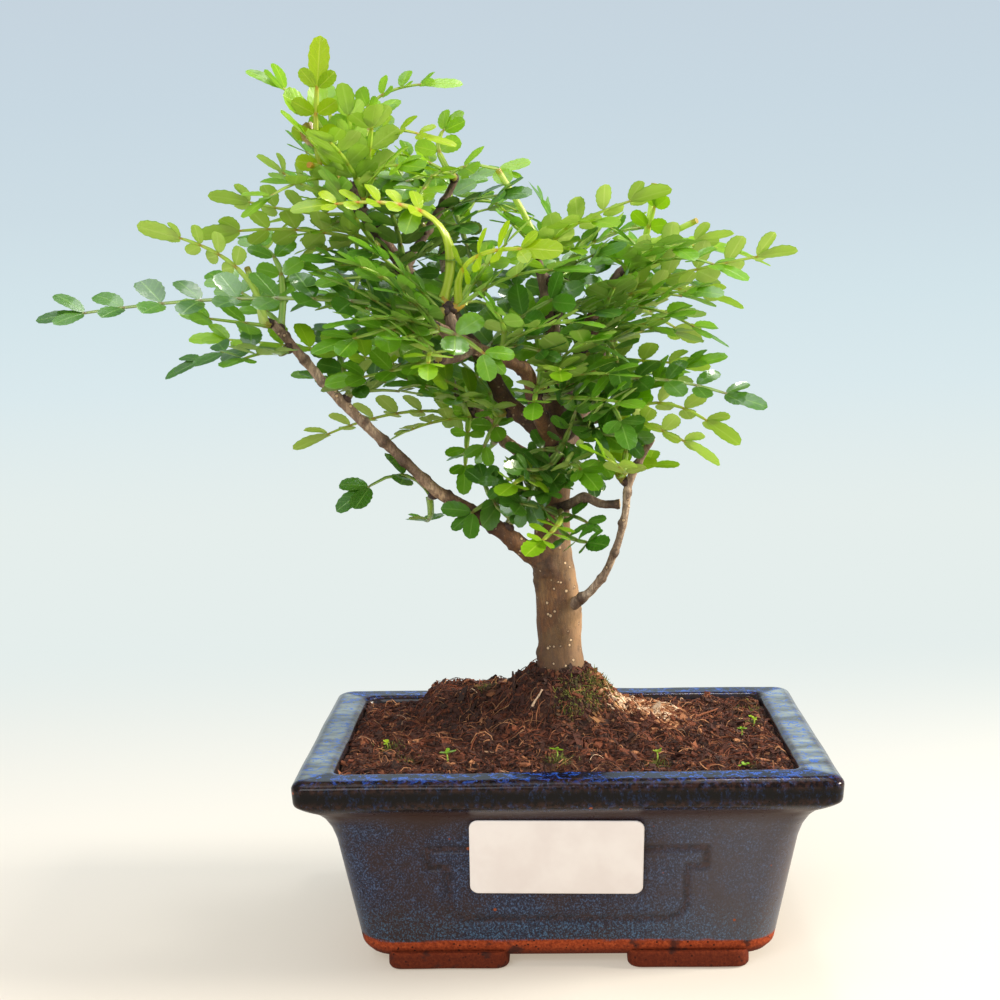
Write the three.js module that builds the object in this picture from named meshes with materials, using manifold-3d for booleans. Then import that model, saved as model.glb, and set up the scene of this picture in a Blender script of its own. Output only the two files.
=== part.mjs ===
// A Japanese pepper bonsai in a glazed rectangular pot, in millimetres, +Z up.
// The tree leans its crown to the left; the front of the pot faces -Y.
import * as THREE from 'three';
import { mergeVertices } from 'three/addons/utils/BufferGeometryUtils.js';
import Module from 'manifold-3d';

const wasm = await Module();
wasm.setup();

// Pot: outer size at the rim, and heights above the table.
const rimHalfWidth = 76.5;
const rimHalfDepth = 55;
const potCentreY = 2.5;
const rimHeight = 60;
const rimTopWidth = 10.5;
const footHeight = 3.2;
const floorTop = 8.5;
const wallThickness = 5.5;
const rimCornerRadius = 4;
const hollowCornerRadius = 4.5;
const bodyCornerRadius = 11;
const cornerSteps = 3;

// Feet and drainage holes.
const footHalfLength = 17.5;
const footHalfDepth = 8;
const footCentreX = 34.5;
const footCentreY = 32;
const footCornerRadius = 4;
const footBevel = 0.9;
const drainRadius = 4.5;
const drainCentreX = 26;
const drainSides = 8;

// Panel scratched into the front and back wall.
const panelWideHalf = 40.5;
const panelNarrowHalf = 35;
const panelTop = 38.4;
const panelStep = 30.5;
const panelBottom = 14.2;
const panelCorner = 7;
const grooveWidth = 2.2;
const grooveDepth = 0.7;
const cutterReach = 2;
const wallPlaneLow = { z: 11, inset: 15.2 };
const wallPlaneHigh = { z: 39, inset: 10.4 };

// Card label that leans on the front wall.
const cardWidth = 49;
const cardHeight = 24;
const cardThickness = 0.6;
const cardCorner = 2.5;
const cardCentreX = -3;
const cardTop = { z: 46.9, inset: 6.7 };
const cardBottom = { z: 24, inset: 12.6 };
const cardTurn = THREE.MathUtils.degToRad(-0.8);

// Soil: its edge, the mound round the trunk, and the corner of an older root ball behind on the left.
const soilEdgeHeight = 58;
const moundHeight = 12;
const moundHalfX = 30;
const moundHalfY = 24;
const blockHeight = 7;
const blockLeft = -44;
const blockRight = -9;
const blockFront = 15;
const blockSoftness = { left: 1.2, right: 2.5, front: 1.5 };
const crumbWaves = [
  { height: 0.6, alongX: 0.55, alongY: 0.31, shift: 0 },
  { height: 0.5, alongX: 0.27, alongY: -0.62, shift: 2 },
];
const soilColumns = 13;
const soilRows = 8;
const soilGridInset = 8;

// Wood: sides of the tubes, and how uneven the bark is.
const tubeSides = { trunk: 11, left: 6, front: 6, leader: 6, right: 6 };
const twigSides = 5;
const barkUnevenness = 0.07;
const barkLumps = { along: 2.1, around: 2.7 };
const trunkHoleGap = 0.36;

// Green buds that carry the leaves, and shoots cut short. A bud's axis keeps a small share of the lean along
// the branch, and the search for its seat starts at a share of the branch's radius.
const clearance = 0.3;
const budLength = 3;
const budRadius = 1.5;
const budTaper = 0.87;
const budSides = 4;
const budStep = 0.15;
const budSquareness = 0.85;
const budSink = 0.8;
const leafSeats = [0.84, 0.54];
const fillingSeat = 0.24;
const shootRadius = 1.1;
const shootTaper = 0.8;

// Leaflets of a compound leaf; a leaflet's corners are shares of its length and of its half width.
const bladeThickness = 0.7;
const leafMargin = 0.45;
const ribHalfWidth = 0.75;
const leafletLength = 10.5;
const leafletWidth = 8.4;
const leafletPitch = 15;
const leafletAngle = THREE.MathUtils.degToRad(64);
const lastPairAngle = THREE.MathUtils.degToRad(46);
const leafletRise = 0.14;
const leafletCorners = [[0.72, 1], [1, 0.12], [0.64, -1]];
const leafletFootHalf = 0.7;
const leafletTaper = { ends: 0.82, middle: 0.22 };
const crowdedSize = 0.2;
const endLeaflet = { shareOfLeaf: 0.36, widestAt: 0.66, halfWidth: 0.42, neck: 1 };
const bladeLead = 0.8;
const leafRoughness = 0.45;

// Short leaves that fill the crown, from this height up and round this place.
const fillingFrom = 155;
const fillingCentreX = -15;
const fillingHalfX = 50;
const fillingLength = 27;
const fillingWays = 10;
const fillingSpread = THREE.MathUtils.degToRad(58);
const fillingNearness = 0.75;
const fillingFlatness = 0.6;
const fillingVariation = 5;
const fillingRhythm = 1.7;
const fillingScales = [1, 0.8, 0.62];
const fillingArch = 0.08;
const fillingFace = { front: 42, back: -20 };
const fillingBare = 0.2;

// Changes of a leaf's pose that are tried where it would touch something, and what each degree costs.
const poseScales = [1, 0.88, 0.76, 0.62, 0.5];
const poseRolls = [0, 15, -15, 30, -30];
const poseLeans = [0, 5, -5, 10, -10, 15, -15, 20, -20, 26, -26];
const poseTurns = [0, 7, -7, 14, -14, 22, -22];
const poseCost = { lean: 1 / 5, turn: 1 / 6, roll: 1 / 12, shortening: 30 };

// The trunk's foot stands at this place in the pot.
const trunkFoot = new THREE.Vector3(-1, 10, 56);

// Trunk and branches as rows of [x, y, z, radius]; the first row of a branch lies inside what bears it.
const wood = {
  trunk: [[-1, 10, 56, 10.2], [-0.8, 10, 63, 9.8], [-0.8, 10, 69.3, 8.9], [-0.7, 10, 77.6, 7.4],
    [-0.8, 10, 86.4, 6.8], [-1, 9.5, 96, 6.9], [-1.8, 9, 105.5, 6.4], [-2.6, 8.5, 115.5, 5.7],
    [-2.4, 8, 127.4, 5], [-1.4, 8, 136.6, 4.7], [0, 7, 145.9, 4.4], [-0.8, 7, 156.5, 3.9],
    [-2.1, 7, 168.6, 3.6], [-3.8, 7, 178.9, 3.7]],
  left: [[-3, 8, 111.3, 4.2], [-10.6, 6, 115.4, 3.1], [-16.8, 4, 120.7, 2.5], [-24.6, 2, 126.6, 2.2],
    [-37.2, -1, 134.8, 1.8], [-44.7, -3, 142.4, 1.6], [-51.5, -5, 149.6, 1.6], [-59, -8, 157.3, 1.5],
    [-70.1, -12, 170.1, 1.4], [-77, -15, 179.3, 1.3], [-82.5, -17, 186.3, 1.2]],
  front: [[-0.9, 6, 146, 3], [-4.5, -2, 153.6, 2.5], [-7.3, -9, 162.1, 2.2], [-10.5, -15, 171.8, 2.1],
    [-14.7, -18, 174, 2], [-24.3, -26, 178.4, 1.8], [-28.9, -30, 181.3, 1.7], [-34.9, -35, 184.8, 1.6]],
  frontTwig: [[-28, -30, 180.5, 1.3], [-29.8, -31, 184.7, 1.4], [-30.5, -32, 188.9, 1.2]],
  frontSpur: [[-24.6, -26, 178.1, 1.2], [-29, -30, 175.5, 1.1], [-33.3, -33, 174.8, 1.3]],
  leader: [[-1.2, 8, 147.3, 3.2], [-9, 11, 154.2, 2.7], [-16.6, 13, 161.6, 2.4], [-22.8, 13, 173.3, 2.2],
    [-29.3, 12, 182.3, 2], [-37.2, 10, 191.8, 1.9], [-45.8, 7, 201.5, 1.8], [-51.4, 5, 209, 1.9],
    [-57.2, 3, 218.1, 1.7], [-61.9, 2, 226.9, 1.4]],
  crown: [[-45.8, 7, 201.5, 1.4], [-40, 9, 211, 1.3], [-34.1, 10, 220.4, 1.2], [-30.3, 10, 227.4, 1]],
  leaderBack: [[-29.3, 12, 182.3, 1.6], [-33, 26, 191.1, 1.4], [-35.5, 40, 199.5, 1.3],
    [-37.3, 50, 206.5, 1.1]],
  grey: [[-1.4, 9, 137.1, 2.6], [-9.3, 14, 142.9, 2.1], [-15.8, 18, 147, 1.8], [-23, 25, 153.8, 1.7],
    [-31.1, 32, 160.7, 1.5], [-38, 38, 170.8, 1.4], [-45.3, 44, 181.7, 1.2]],
  right: [[-1.1, 8, 158, 2.9], [2.7, 10, 165.4, 2.7], [6.8, 12, 174.3, 2.7], [10.3, 13, 182.5, 2.5],
    [12.8, 14, 190, 2], [19.1, 16, 198.3, 1.7], [25.4, 18, 205.2, 1.2]],
  rightLow: [[0, 6, 149, 1.8], [6.6, 1, 154.1, 1.5], [13.1, -3, 157, 1.3]],
  back: [[-0.7, 9, 142, 2.4], [4.6, 24, 149.9, 2], [10.1, 38, 159.7, 1.7], [14.5, 50, 170.7, 1.4],
    [17.5, 58, 179.3, 1.1]],
  upper: [[-2.7, 7, 171.7, 2.4], [-2.8, 5, 183.7, 1.9], [-4.1, 2, 195.6, 1.6], [-6.3, 0, 204.1, 1.2]],
  upperBack: [[-2.7, 8, 173.1, 1.8], [-0.6, 22, 184.4, 1.5], [2.8, 36, 194.3, 1.3], [5, 46, 202, 1]],
  thin: [[2.3, 6, 97.8, 1.6], [6.9, 2, 101.6, 1.3], [12.6, -2, 108.7, 1.2], [16.5, -5, 118.2, 1.1],
    [19.1, -7, 129, 1.1], [19.8, -8, 136.2, 1.2], [23.2, -10, 144.1, 1.1], [26.7, -12, 150.4, 1]],
  stub: [[-2.7, 5, 127.1, 1.7], [3.9, -2, 131, 1.4], [6.5, -4, 132.7, 1.3], [12.1, -5, 130.6, 1.2],
    [17.4, -6, 130.7, 1.2]],
};

// Leafy sprays: the place of the bud on the wood, then the leaves as rows of middle x, y, z, tip x, y, z,
// lean of the upper face toward the front in degrees, bare share of the rib, and tone from dark to young.
const sprays = {
  left_tip: [[-83, -17, 187], [-94, -20, 204, -119, -24, 213, -40, 0.42, 2],
    [-93, -30, 187, -105, -38, 189, 34, 0.2, 1]],
  left_tip_back: [[-81, -14, 184], [-92, 4, 193, -109, 22, 202, 28, 0.2, 1],
    [-83, -2, 204, -97, 14, 210, 32, 0.35, 1]],
  left_knob: [[-77, -14, 180], [-97, -8, 178, -118, -2, 170, 30, 0.25, 0],
    [-82, -38, 178, -89, -60, 175, 36, 0.2, 1]],
  left_mid: [[-63, -9, 163], [-59, -22, 168, -54, -36, 165, 60, 0.25, 0],
    [-69, 6, 168, -83, 22, 170, 24, 0.2, 1]],
  left_low: [[-38, -1, 133], [-50, -4, 140, -66, -8, 129, 28, 0.3, 0],
    [-41, 14, 124, -47, 34, 124, 24, 0.3, 1]],
  left_root: [[-16, 5, 122], [-22, 2, 131, -34, -2, 123, 32, 0.2, 0],
    [-24, 0, 132, -28, 10, 137, 44, 0.3, 0]],
  twig_long: [[-31, -33, 190], [-83, -46, 193, -138, -58, 188, 29, 0.12, 1],
    [-47, -46, 184, -66, -56, 179, 40, 0.2, 1]],
  twig_young: [[-30, -34, 191], [-36, -36, 215, -72, -44, 216, 34, 0.48, 3]],
  twig_bright: [[-28, -33, 190], [-22, -44, 203, 1, -58, 203, 58, 0.25, 3],
    [-19, -24, 202, -4, -18, 199, 48, 0.25, 2]],
  front_end: [[-35, -36, 185], [-40, -50, 182, -44, -68, 182, 62, 0.2, 1],
    [-39, -52, 192, -48, -64, 194, 40, 0.2, 0]],
  front_spur: [[-34, -35, 175], [-44, -34, 173, -65, -38, 169, 38, 0.15, 1],
    [-35, -50, 178, -34, -66, 173, 62, 0.2, 2]],
  front_knob: [[-18, -21, 177], [-11, -24, 186, 7, -30, 195, 62, 0.3, 0],
    [-16, -38, 186, -22, -52, 193, 52, 0.25, 1]],
  front_low: [[-6, -14, 165], [-9, -20, 180, -16, -26, 191, 56, 0.3, 1],
    [-1, -26, 172, 0, -48, 169, 62, 0.3, 2]],
  mid_right: [[-4, -9, 164], [26, -14, 168, 59, -20, 159, 35, 0.12, 0],
    [11, -26, 163, 21, -46, 162, 48, 0.2, 1]],
  leader_long: [[-14, 8, 158], [-47, -4, 173, -109, -14, 182, 28, 0.1, 2],
    [-25, 24, 167, -38, 40, 177, 28, 0.2, 1]],
  grey_spur: [[-28, 27, 155], [-54, 28, 156, -85, 30, 145, -30, 0.1, 2],
    [-43, 20, 153, -53, 14, 148, -24, 0.15, 2]],
  grey_low: [[-19, 21, 150], [-29, 30, 159, -48, 44, 165, 24, 0.25, 1],
    [-24, 30, 144, -34, 46, 141, 24, 0.3, 1]],
  trunk_dark: [[0, 0, 146], [3, -10, 156, 6, -14, 169, 68, 0.15, 0],
    [-6, -12, 142, -16, -24, 145, 62, 0.2, 0]],
  trunk_front: [[-2, 2, 135], [-6, -16, 140, -8, -38, 136, 66, 0.3, 1],
    [4, -14, 142, 10, -26, 132, 60, 0.2, 1]],
  trunk_low: [[1, 0, 126], [2, -12, 122, 13, -34, 123, 62, 0.3, 0],
    [-2, -16, 125, -11, -36, 120, 56, 0.3, 2]],
  trunk_left: [[-7, 6, 133], [-15, 2, 138, -23, -2, 131, 56, 0.2, 0]],
  thin_knob: [[19, -9, 137], [17, -20, 143, 5, -32, 151, 32, 0.2, 2],
    [21, -2, 142, 33, 8, 140, 28, 0.2, 2]],
  right_low_end: [[14, -4, 158], [32, -4, 160, 53, -2, 147, -38, 0.15, 2],
    [25, -14, 155, 46, -22, 144, -40, 0.15, 2]],
  right_low_mid: [[7, -2, 154], [11, -14, 150, 20, -24, 147, 62, 0.25, 0],
    [14, -24, 163, 18, -44, 153, 62, 0.2, 0]],
  right_first: [[7, 8, 175], [21, 4, 173, 45, -2, 171, -32, 0.2, 2],
    [15, -8, 178, 17, -28, 165, 62, 0.3, 0]],
  right_second: [[11, 11, 184], [20, 6, 184, 35, 0, 180, -24, 0.25, 1],
    [12, -12, 182, 25, -28, 186, 62, 0.25, 0]],
  right_third: [[14, 12, 191], [32, 10, 194, 56, 8, 188, -31, 0.15, 2],
    [26, 34, 188, 47, 52, 176, -28, 0.2, 2]],
  right_fourth: [[17, 13, 195], [40, 14, 199, 73, 16, 205, -39, 0.08, 2],
    [29, 36, 194, 54, 56, 195, -26, 0.15, 1]],
  right_fifth: [[20, 14, 199], [31, 12, 205, 53, 8, 210, -38, 0.15, 2]],
  right_end: [[26, 17, 206], [29, 16, 216, 32, 12, 225, 48, 0.3, 2],
    [39, 34, 207, 56, 54, 206, 24, 0.2, 1]],
  upper_end: [[-6, -2, 205], [8, -8, 214, 33, -12, 222, -33, 0.12, 2],
    [-11, -16, 211, -16, -30, 215, 44, 0.2, 1]],
  upper_mid: [[-4, 0, 196], [6, -12, 202, 20, -22, 206, 56, 0.2, 0], [5, 16, 194, 22, 34, 203, 28, 0.2, 1]],
  upper_low: [[-3, 2, 184], [5, -14, 188, 17, -34, 187, 56, 0.2, 0],
    [-8, 18, 191, -19, 36, 202, 28, 0.2, 0]],
  crown_end: [[-30, 8, 228], [-23, 2, 231, -13, -6, 226, 36, 0.15, 2],
    [-35, 12, 240, -26, 14, 246, 40, 0.3, 2]],
  crown_third: [[-34, 8, 221], [-22, -6, 219, -3, -18, 218, 40, 0.2, 0],
    [-31, 26, 226, -18, 44, 234, 28, 0.25, 1]],
  crown_second: [[-39, 7, 212], [-30, -10, 214, -19, -26, 210, 52, 0.2, 0],
    [-45, 26, 221, -40, 44, 236, 28, 0.2, 1]],
  crown_first: [[-45, 4, 203], [-51, -12, 206, -58, -28, 203, 46, 0.2, 0],
    [-37, -16, 203, -29, -34, 198, 52, 0.2, 0]],
  apex: [[-63, 1, 228], [-70, -2, 237, -67, -6, 268, 72, 0.12, 3], [-75, 2, 248, -94, 2, 256, 40, 0.25, 2]],
  apex_left: [[-62, 2, 223], [-76, 4, 227, -89, 6, 236, -36, 0.2, 2],
    [-71, -12, 235, -84, -22, 243, 36, 0.3, 2]],
  apex_right: [[-59, 4, 226], [-54, 4, 250, -27, 2, 254, 30, 0.38, 2],
    [-57, 16, 243, -48, 32, 253, 32, 0.3, 2]],
  leader_fourth: [[-58, 1, 221], [-50, -4, 240, -29, -12, 234, 32, 0.28, 3],
    [-49, -16, 231, -36, -30, 229, 48, 0.25, 2]],
  leader_third: [[-59, 3, 218], [-79, 2, 219, -103, 2, 225, -36, 0.15, 2],
    [-73, 22, 226, -91, 42, 233, -24, 0.2, 1]],
  leader_second: [[-51, 2, 210], [-78, -6, 213, -104, -14, 211, -38, 0.12, 2],
    [-60, -24, 213, -64, -42, 218, 44, 0.2, 1]],
  leader_first: [[-46, 4, 201], [-59, -10, 203, -73, -24, 203, 34, 0.15, 0],
    [-58, 22, 199, -78, 40, 202, 24, 0.2, 0]],
  leader_low: [[-38, 7, 191], [-52, 20, 192, -72, 34, 193, 24, 0.2, 0],
    [-46, -8, 186, -59, -18, 181, 35, 0.2, 0]],
  leader_base: [[-22, 10, 173], [-36, 4, 176, -52, 2, 177, 30, 0.2, 0],
    [-18, 28, 182, -12, 44, 195, 28, 0.2, 1]],
  grey_end: [[-45, 45, 181], [-62, 56, 182, -87, 66, 179, 24, 0.15, 1],
    [-45, 58, 192, -43, 70, 202, 24, 0.3, 1]],
  grey_mid: [[-37, 37, 170], [-48, 46, 169, -66, 56, 160, 24, 0.2, 1],
    [-35, 52, 177, -43, 66, 182, -28, 0.3, 1]],
  back_left_end: [[-37, 50, 206], [-48, 60, 217, -68, 70, 219, -24, 0.15, 1],
    [-28, 60, 220, -12, 70, 222, -24, 0.15, 1]],
  back_left_mid: [[-35, 37, 197], [-48, 50, 200, -69, 64, 198, -24, 0.2, 0],
    [-22, 48, 200, -5, 62, 201, -24, 0.2, 0]],
  back_right_end: [[18, 58, 180], [31, 66, 187, 51, 74, 184, -26, 0.15, 1],
    [11, 68, 194, 5, 78, 206, -28, 0.2, 1]],
  back_right_mid: [[12, 44, 166], [27, 54, 167, 45, 66, 162, -26, 0.2, 1],
    [4, 58, 171, -9, 72, 176, -26, 0.25, 0]],
  back_right_low: [[6, 28, 152], [17, 42, 149, 31, 58, 144, -24, 0.25, 0],
    [-1, 46, 152, -13, 62, 158, -24, 0.25, 0]],
  back_top_end: [[5, 46, 203], [18, 56, 212, 35, 66, 216, -26, 0.15, 1],
    [-2, 58, 219, -8, 68, 231, -30, 0.2, 1]],
  back_top_mid: [[1, 30, 189], [15, 42, 191, 31, 56, 191, -24, 0.2, 0],
    [-12, 44, 191, -26, 60, 188, -24, 0.2, 0]],
};

// Green shoots that were cut short: the ends of those that start at a spray's bud.
const cutShoots = {
  left_tip: [[-90, -12, 202]],
  apex: [[-71, -12, 231]],
  upper_end: [[-17, -6, 229]],
  right_end: [[42, 10, 214], [30, 20, 226]],
};

// Colours of the sprays, from the dark inner leaves to the young yellow-green ones.
const leafColours = [0x2f5f28, 0x4f8a30, 0x86ae45, 0xb4bd4a];
const looks = {
  glaze: { color: 0x26344a, roughness: 0.3, metalness: 0 },
  soil: { color: 0x5a3524, roughness: 0.95, metalness: 0 },
  bark: { color: 0x86694c, roughness: 0.8, metalness: 0 },
  card: { color: 0xf2ece6, roughness: 0.5, metalness: 0 },
};

const degrees = THREE.MathUtils.degToRad;
const up = new THREE.Vector3(0, 0, 1);
const weldDistance = 1e-4;
const bonsai = new THREE.Group();

// A closed geometry of bare positions as a solid, and back.
function solidOf(geometry) {
  const bare = geometry.clone();
  bare.deleteAttribute('normal');
  bare.deleteAttribute('uv');
  const merged = mergeVertices(bare, weldDistance);
  return new wasm.Manifold(new wasm.Mesh({
    numProp: 3,
    vertProperties: merged.attributes.position.array,
    triVerts: new Uint32Array(merged.index.array),
  }));
}

function geometryOf(solid) {
  const mesh = solid.getMesh();
  const geometry = new THREE.BufferGeometry();
  geometry.setAttribute('position', new THREE.BufferAttribute(mesh.vertProperties, 3));
  geometry.setIndex(new THREE.BufferAttribute(mesh.triVerts, 1));
  geometry.computeVertexNormals();
  return geometry;
}

// The outer skin of a joined body: hollows that joining seals are filled.
function filled(solid) {
  return solid.decompose().reduce((largest, shell) => (shell.volume() > largest.volume() ? shell : largest));
}

function addNode(name, solid, look) {
  const mesh = new THREE.Mesh(geometryOf(filled(solid)), new THREE.MeshStandardMaterial(look));
  mesh.name = name;
  bonsai.add(mesh);
}

function fromPoints(points, faces) {
  const geometry = new THREE.BufferGeometry();
  geometry.setAttribute('position', new THREE.Float32BufferAttribute(points.flat(), 3));
  geometry.setIndex(faces.flat());
  return geometry;
}

// A stack of closed rings of equal length, each joined to the next, with a flat cap at both ends.
function stackOfRings(rings) {
  const count = rings[0].length;
  const faces = [];
  for (let level = 0; level + 1 < rings.length; level++) {
    for (let i = 0; i < count; i++) {
      const j = (i + 1) % count;
      const low = level * count;
      const high = low + count;
      faces.push([low + i, low + j, high + j], [low + i, high + j, high + i]);
    }
  }
  const last = (rings.length - 1) * count;
  for (let i = 1; i + 1 < count; i++) {
    faces.push([0, i + 1, i], [last, last + i, last + i + 1]);
  }
  return fromPoints(rings.flat(), faces);
}

// A horizontal rectangle with rounded corners, as a ring of points at height z.
function roundedRing(halfX, halfY, radius, z, centreX = 0, centreY = potCentreY) {
  const ring = [];
  for (let corner = 0; corner < 4; corner++) {
    const signX = corner === 0 || corner === 3 ? 1 : -1;
    const signY = corner < 2 ? 1 : -1;
    for (let step = 0; step <= cornerSteps; step++) {
      const angle = (corner + step / cornerSteps) * Math.PI / 2;
      ring.push([
        centreX + signX * (halfX - radius) + radius * Math.cos(angle),
        centreY + signY * (halfY - radius) + radius * Math.sin(angle),
        z,
      ]);
    }
  }
  return ring;
}

// The pot's outside and its hollow as rows of [height, inset from the rim's outer edge, corner radius].
const outerProfile = [[footHeight, 18.4, 9], [5.4, 16.3, 10.5],
  [wallPlaneLow.z, wallPlaneLow.inset, bodyCornerRadius], [wallPlaneHigh.z, wallPlaneHigh.inset, 9],
  [43, 9.2, 8.5], [46.5, 7.4, 8], [49, 5.3, 7], [51, 2.4, 5], [52.8, 0.4, rimCornerRadius],
  [58.5, 0, rimCornerRadius], [rimHeight, 1.9, rimCornerRadius]];
const hollowProfile = [[floorTop, 16 + wallThickness, 6], [38, 10.6 + wallThickness, 5.5], [52, 12.4, 5],
  [59.2, rimTopWidth + 0.6, hollowCornerRadius], [rimHeight, rimTopWidth - 0.4, hollowCornerRadius]];

function profileSolid(profile, extraInset = 0, lift = 0) {
  return solidOf(stackOfRings(profile.map(([z, inset, radius]) => roundedRing(
    rimHalfWidth - inset - extraInset, rimHalfDepth - inset - extraInset, radius, z + lift))));
}

// Outline of the scratched panel in the wall's own plane, drawn in by an inset all round.
function panelOutline(inset) {
  const lean = (wallPlaneLow.inset - wallPlaneHigh.inset) / (wallPlaneHigh.z - wallPlaneLow.z);
  const heightAt = (z) => (z - wallPlaneLow.z) * Math.hypot(1, lean);
  const wide = panelWideHalf - inset;
  const narrow = panelNarrowHalf - inset;
  const radius = panelCorner - inset;
  const points = [];
  for (let step = 0; step <= cornerSteps; step++) {
    const angle = (step / cornerSteps - 1) * Math.PI / 2;
    points.push([
      narrow - radius + radius * Math.cos(angle),
      heightAt(panelBottom + inset) + radius * (1 + Math.sin(angle)),
    ]);
  }
  points.push([narrow, heightAt(panelStep + inset)], [wide, heightAt(panelStep + inset)]);
  points.push([wide, heightAt(panelTop - inset)]);
  const mirrored = points.map(([x, y]) => [-x, y]).reverse();
  return [...points, ...mirrored].map(([x, y]) => new THREE.Vector2(x, y));
}

// The panel's line as a body that cuts a shallow groove into the front wall.
function panelCutter() {
  const shape = new THREE.Shape(panelOutline(0));
  shape.holes.push(new THREE.Path(panelOutline(grooveWidth)));
  const depth = grooveDepth + cutterReach;
  const geometry = new THREE.ExtrudeGeometry(shape, { depth, bevelEnabled: false });
  geometry.translate(0, 0, -grooveDepth);
  const lean = Math.atan2(wallPlaneLow.inset - wallPlaneHigh.inset, wallPlaneHigh.z - wallPlaneLow.z);
  const matrix = new THREE.Matrix4().makeBasis(
    new THREE.Vector3(1, 0, 0),
    new THREE.Vector3(0, -Math.sin(lean), Math.cos(lean)),
    new THREE.Vector3(0, -Math.cos(lean), -Math.sin(lean)));
  matrix.setPosition(0, wallPlaneLow.inset - rimHalfDepth, wallPlaneLow.z);
  return geometry.applyMatrix4(matrix);
}

function makeFoot(side, end) {
  const rings = [[0, footBevel], [footBevel, 0], [footHeight + 1, 0]].map(([z, inset]) => roundedRing(
    footHalfLength - inset, footHalfDepth - inset, footCornerRadius - inset, z,
    side * footCentreX, potCentreY + end * footCentreY));
  return solidOf(stackOfRings(rings));
}

function makePot() {
  const hollow = profileSolid([...hollowProfile, [rimHeight + 1, rimTopWidth - 0.8, hollowCornerRadius]]);
  let pot = profileSolid(outerProfile).subtract(hollow);
  for (const turn of [0, Math.PI]) {
    pot = pot.subtract(solidOf(panelCutter().rotateZ(turn).translate(0, potCentreY, 0)));
  }
  for (const side of [-1, 1]) {
    const drain = new THREE.CylinderGeometry(drainRadius, drainRadius, 2 * floorTop, drainSides);
    drain.rotateX(Math.PI / 2).translate(side * drainCentreX, potCentreY, footHeight);
    pot = pot.subtract(solidOf(drain));
    for (const end of [-1, 1]) {
      pot = pot.add(makeFoot(side, end));
    }
  }
  return pot;
}

// The card: a flat plate with round corners from its top edge down to its lower edge.
function makeCard() {
  const ring = roundedRing(cardWidth / 2, cardHeight / 2, cardCorner, 0, 0, 0);
  const shape = new THREE.Shape(ring.map(([x, y]) => new THREE.Vector2(x, y)));
  const geometry = new THREE.ExtrudeGeometry(shape, { depth: cardThickness, bevelEnabled: false });
  geometry.rotateZ(cardTurn);
  const across = new THREE.Vector3(1, 0, 0);
  const rise = new THREE.Vector3(0, cardTop.inset - cardBottom.inset, cardTop.z - cardBottom.z).normalize();
  const matrix = new THREE.Matrix4().makeBasis(across, rise, across.clone().cross(rise));
  const middleInset = (cardTop.inset + cardBottom.inset) / 2;
  matrix.setPosition(cardCentreX, potCentreY + middleInset - rimHalfDepth, (cardTop.z + cardBottom.z) / 2);
  return solidOf(geometry.applyMatrix4(matrix));
}

// Height of the ground: a mound round the trunk, the corner of an older root ball, and crumbs.
function soilHeight(x, y) {
  const mound = Math.exp(-((x / moundHalfX) ** 2) - ((y - trunkFoot.y) / moundHalfY) ** 2);
  const step = (value, softness) => 1 / (1 + Math.exp(-value / softness));
  const block = blockHeight * step(x - blockLeft, blockSoftness.left)
    * step(blockRight - x, blockSoftness.right) * step(y - blockFront, blockSoftness.front);
  const crumbs = crumbWaves.reduce((sum, { height, alongX, alongY, shift }) => (
    sum + height * Math.sin(alongX * x + alongY * y + shift)), 0);
  return soilEdgeHeight + moundHeight * mound + block * Math.exp(-mound) + crumbs;
}

// Ground on a grid, closed below, cut to the pot's hollow, with a plain hole for the trunk.
function makeSoil(trunkHole) {
  const halfX = rimHalfWidth - soilGridInset;
  const halfY = rimHalfDepth - soilGridInset;
  const points = [];
  for (const level of [0, 1]) {
    for (let row = 0; row <= soilRows; row++) {
      for (let column = 0; column <= soilColumns; column++) {
        const x = halfX * (2 * column / soilColumns - 1);
        const y = potCentreY + halfY * (2 * row / soilRows - 1);
        points.push([x, y, level ? soilHeight(x, y) : 0]);
      }
    }
  }
  const topStart = (soilRows + 1) * (soilColumns + 1);
  const faces = [];
  for (let row = 0; row < soilRows; row++) {
    for (let column = 0; column < soilColumns; column++) {
      const a = row * (soilColumns + 1) + column;
      const [b, c, d] = [a + 1, a + soilColumns + 2, a + soilColumns + 1];
      faces.push([a, c, b], [a, d, c]);
      faces.push([topStart + a, topStart + b, topStart + c], [topStart + a, topStart + c, topStart + d]);
    }
  }
  const wall = (from, to) => faces.push([from, to, topStart + to], [from, topStart + to, topStart + from]);
  for (let column = 0; column < soilColumns; column++) {
    wall(column, column + 1);
    wall(topStart - 1 - column, topStart - 2 - column);
  }
  for (let row = 0; row < soilRows; row++) {
    wall(row * (soilColumns + 1) + soilColumns, (row + 1) * (soilColumns + 1) + soilColumns);
    wall((row + 1) * (soilColumns + 1), row * (soilColumns + 1));
  }
  const openTop = [2 * rimHeight, rimTopWidth + 0.6, hollowCornerRadius];
  const room = profileSolid([...hollowProfile.slice(0, -1), openTop], clearance, clearance);
  return solidOf(fromPoints(points, faces)).intersect(room).subtract(trunkHole);
}

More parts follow.
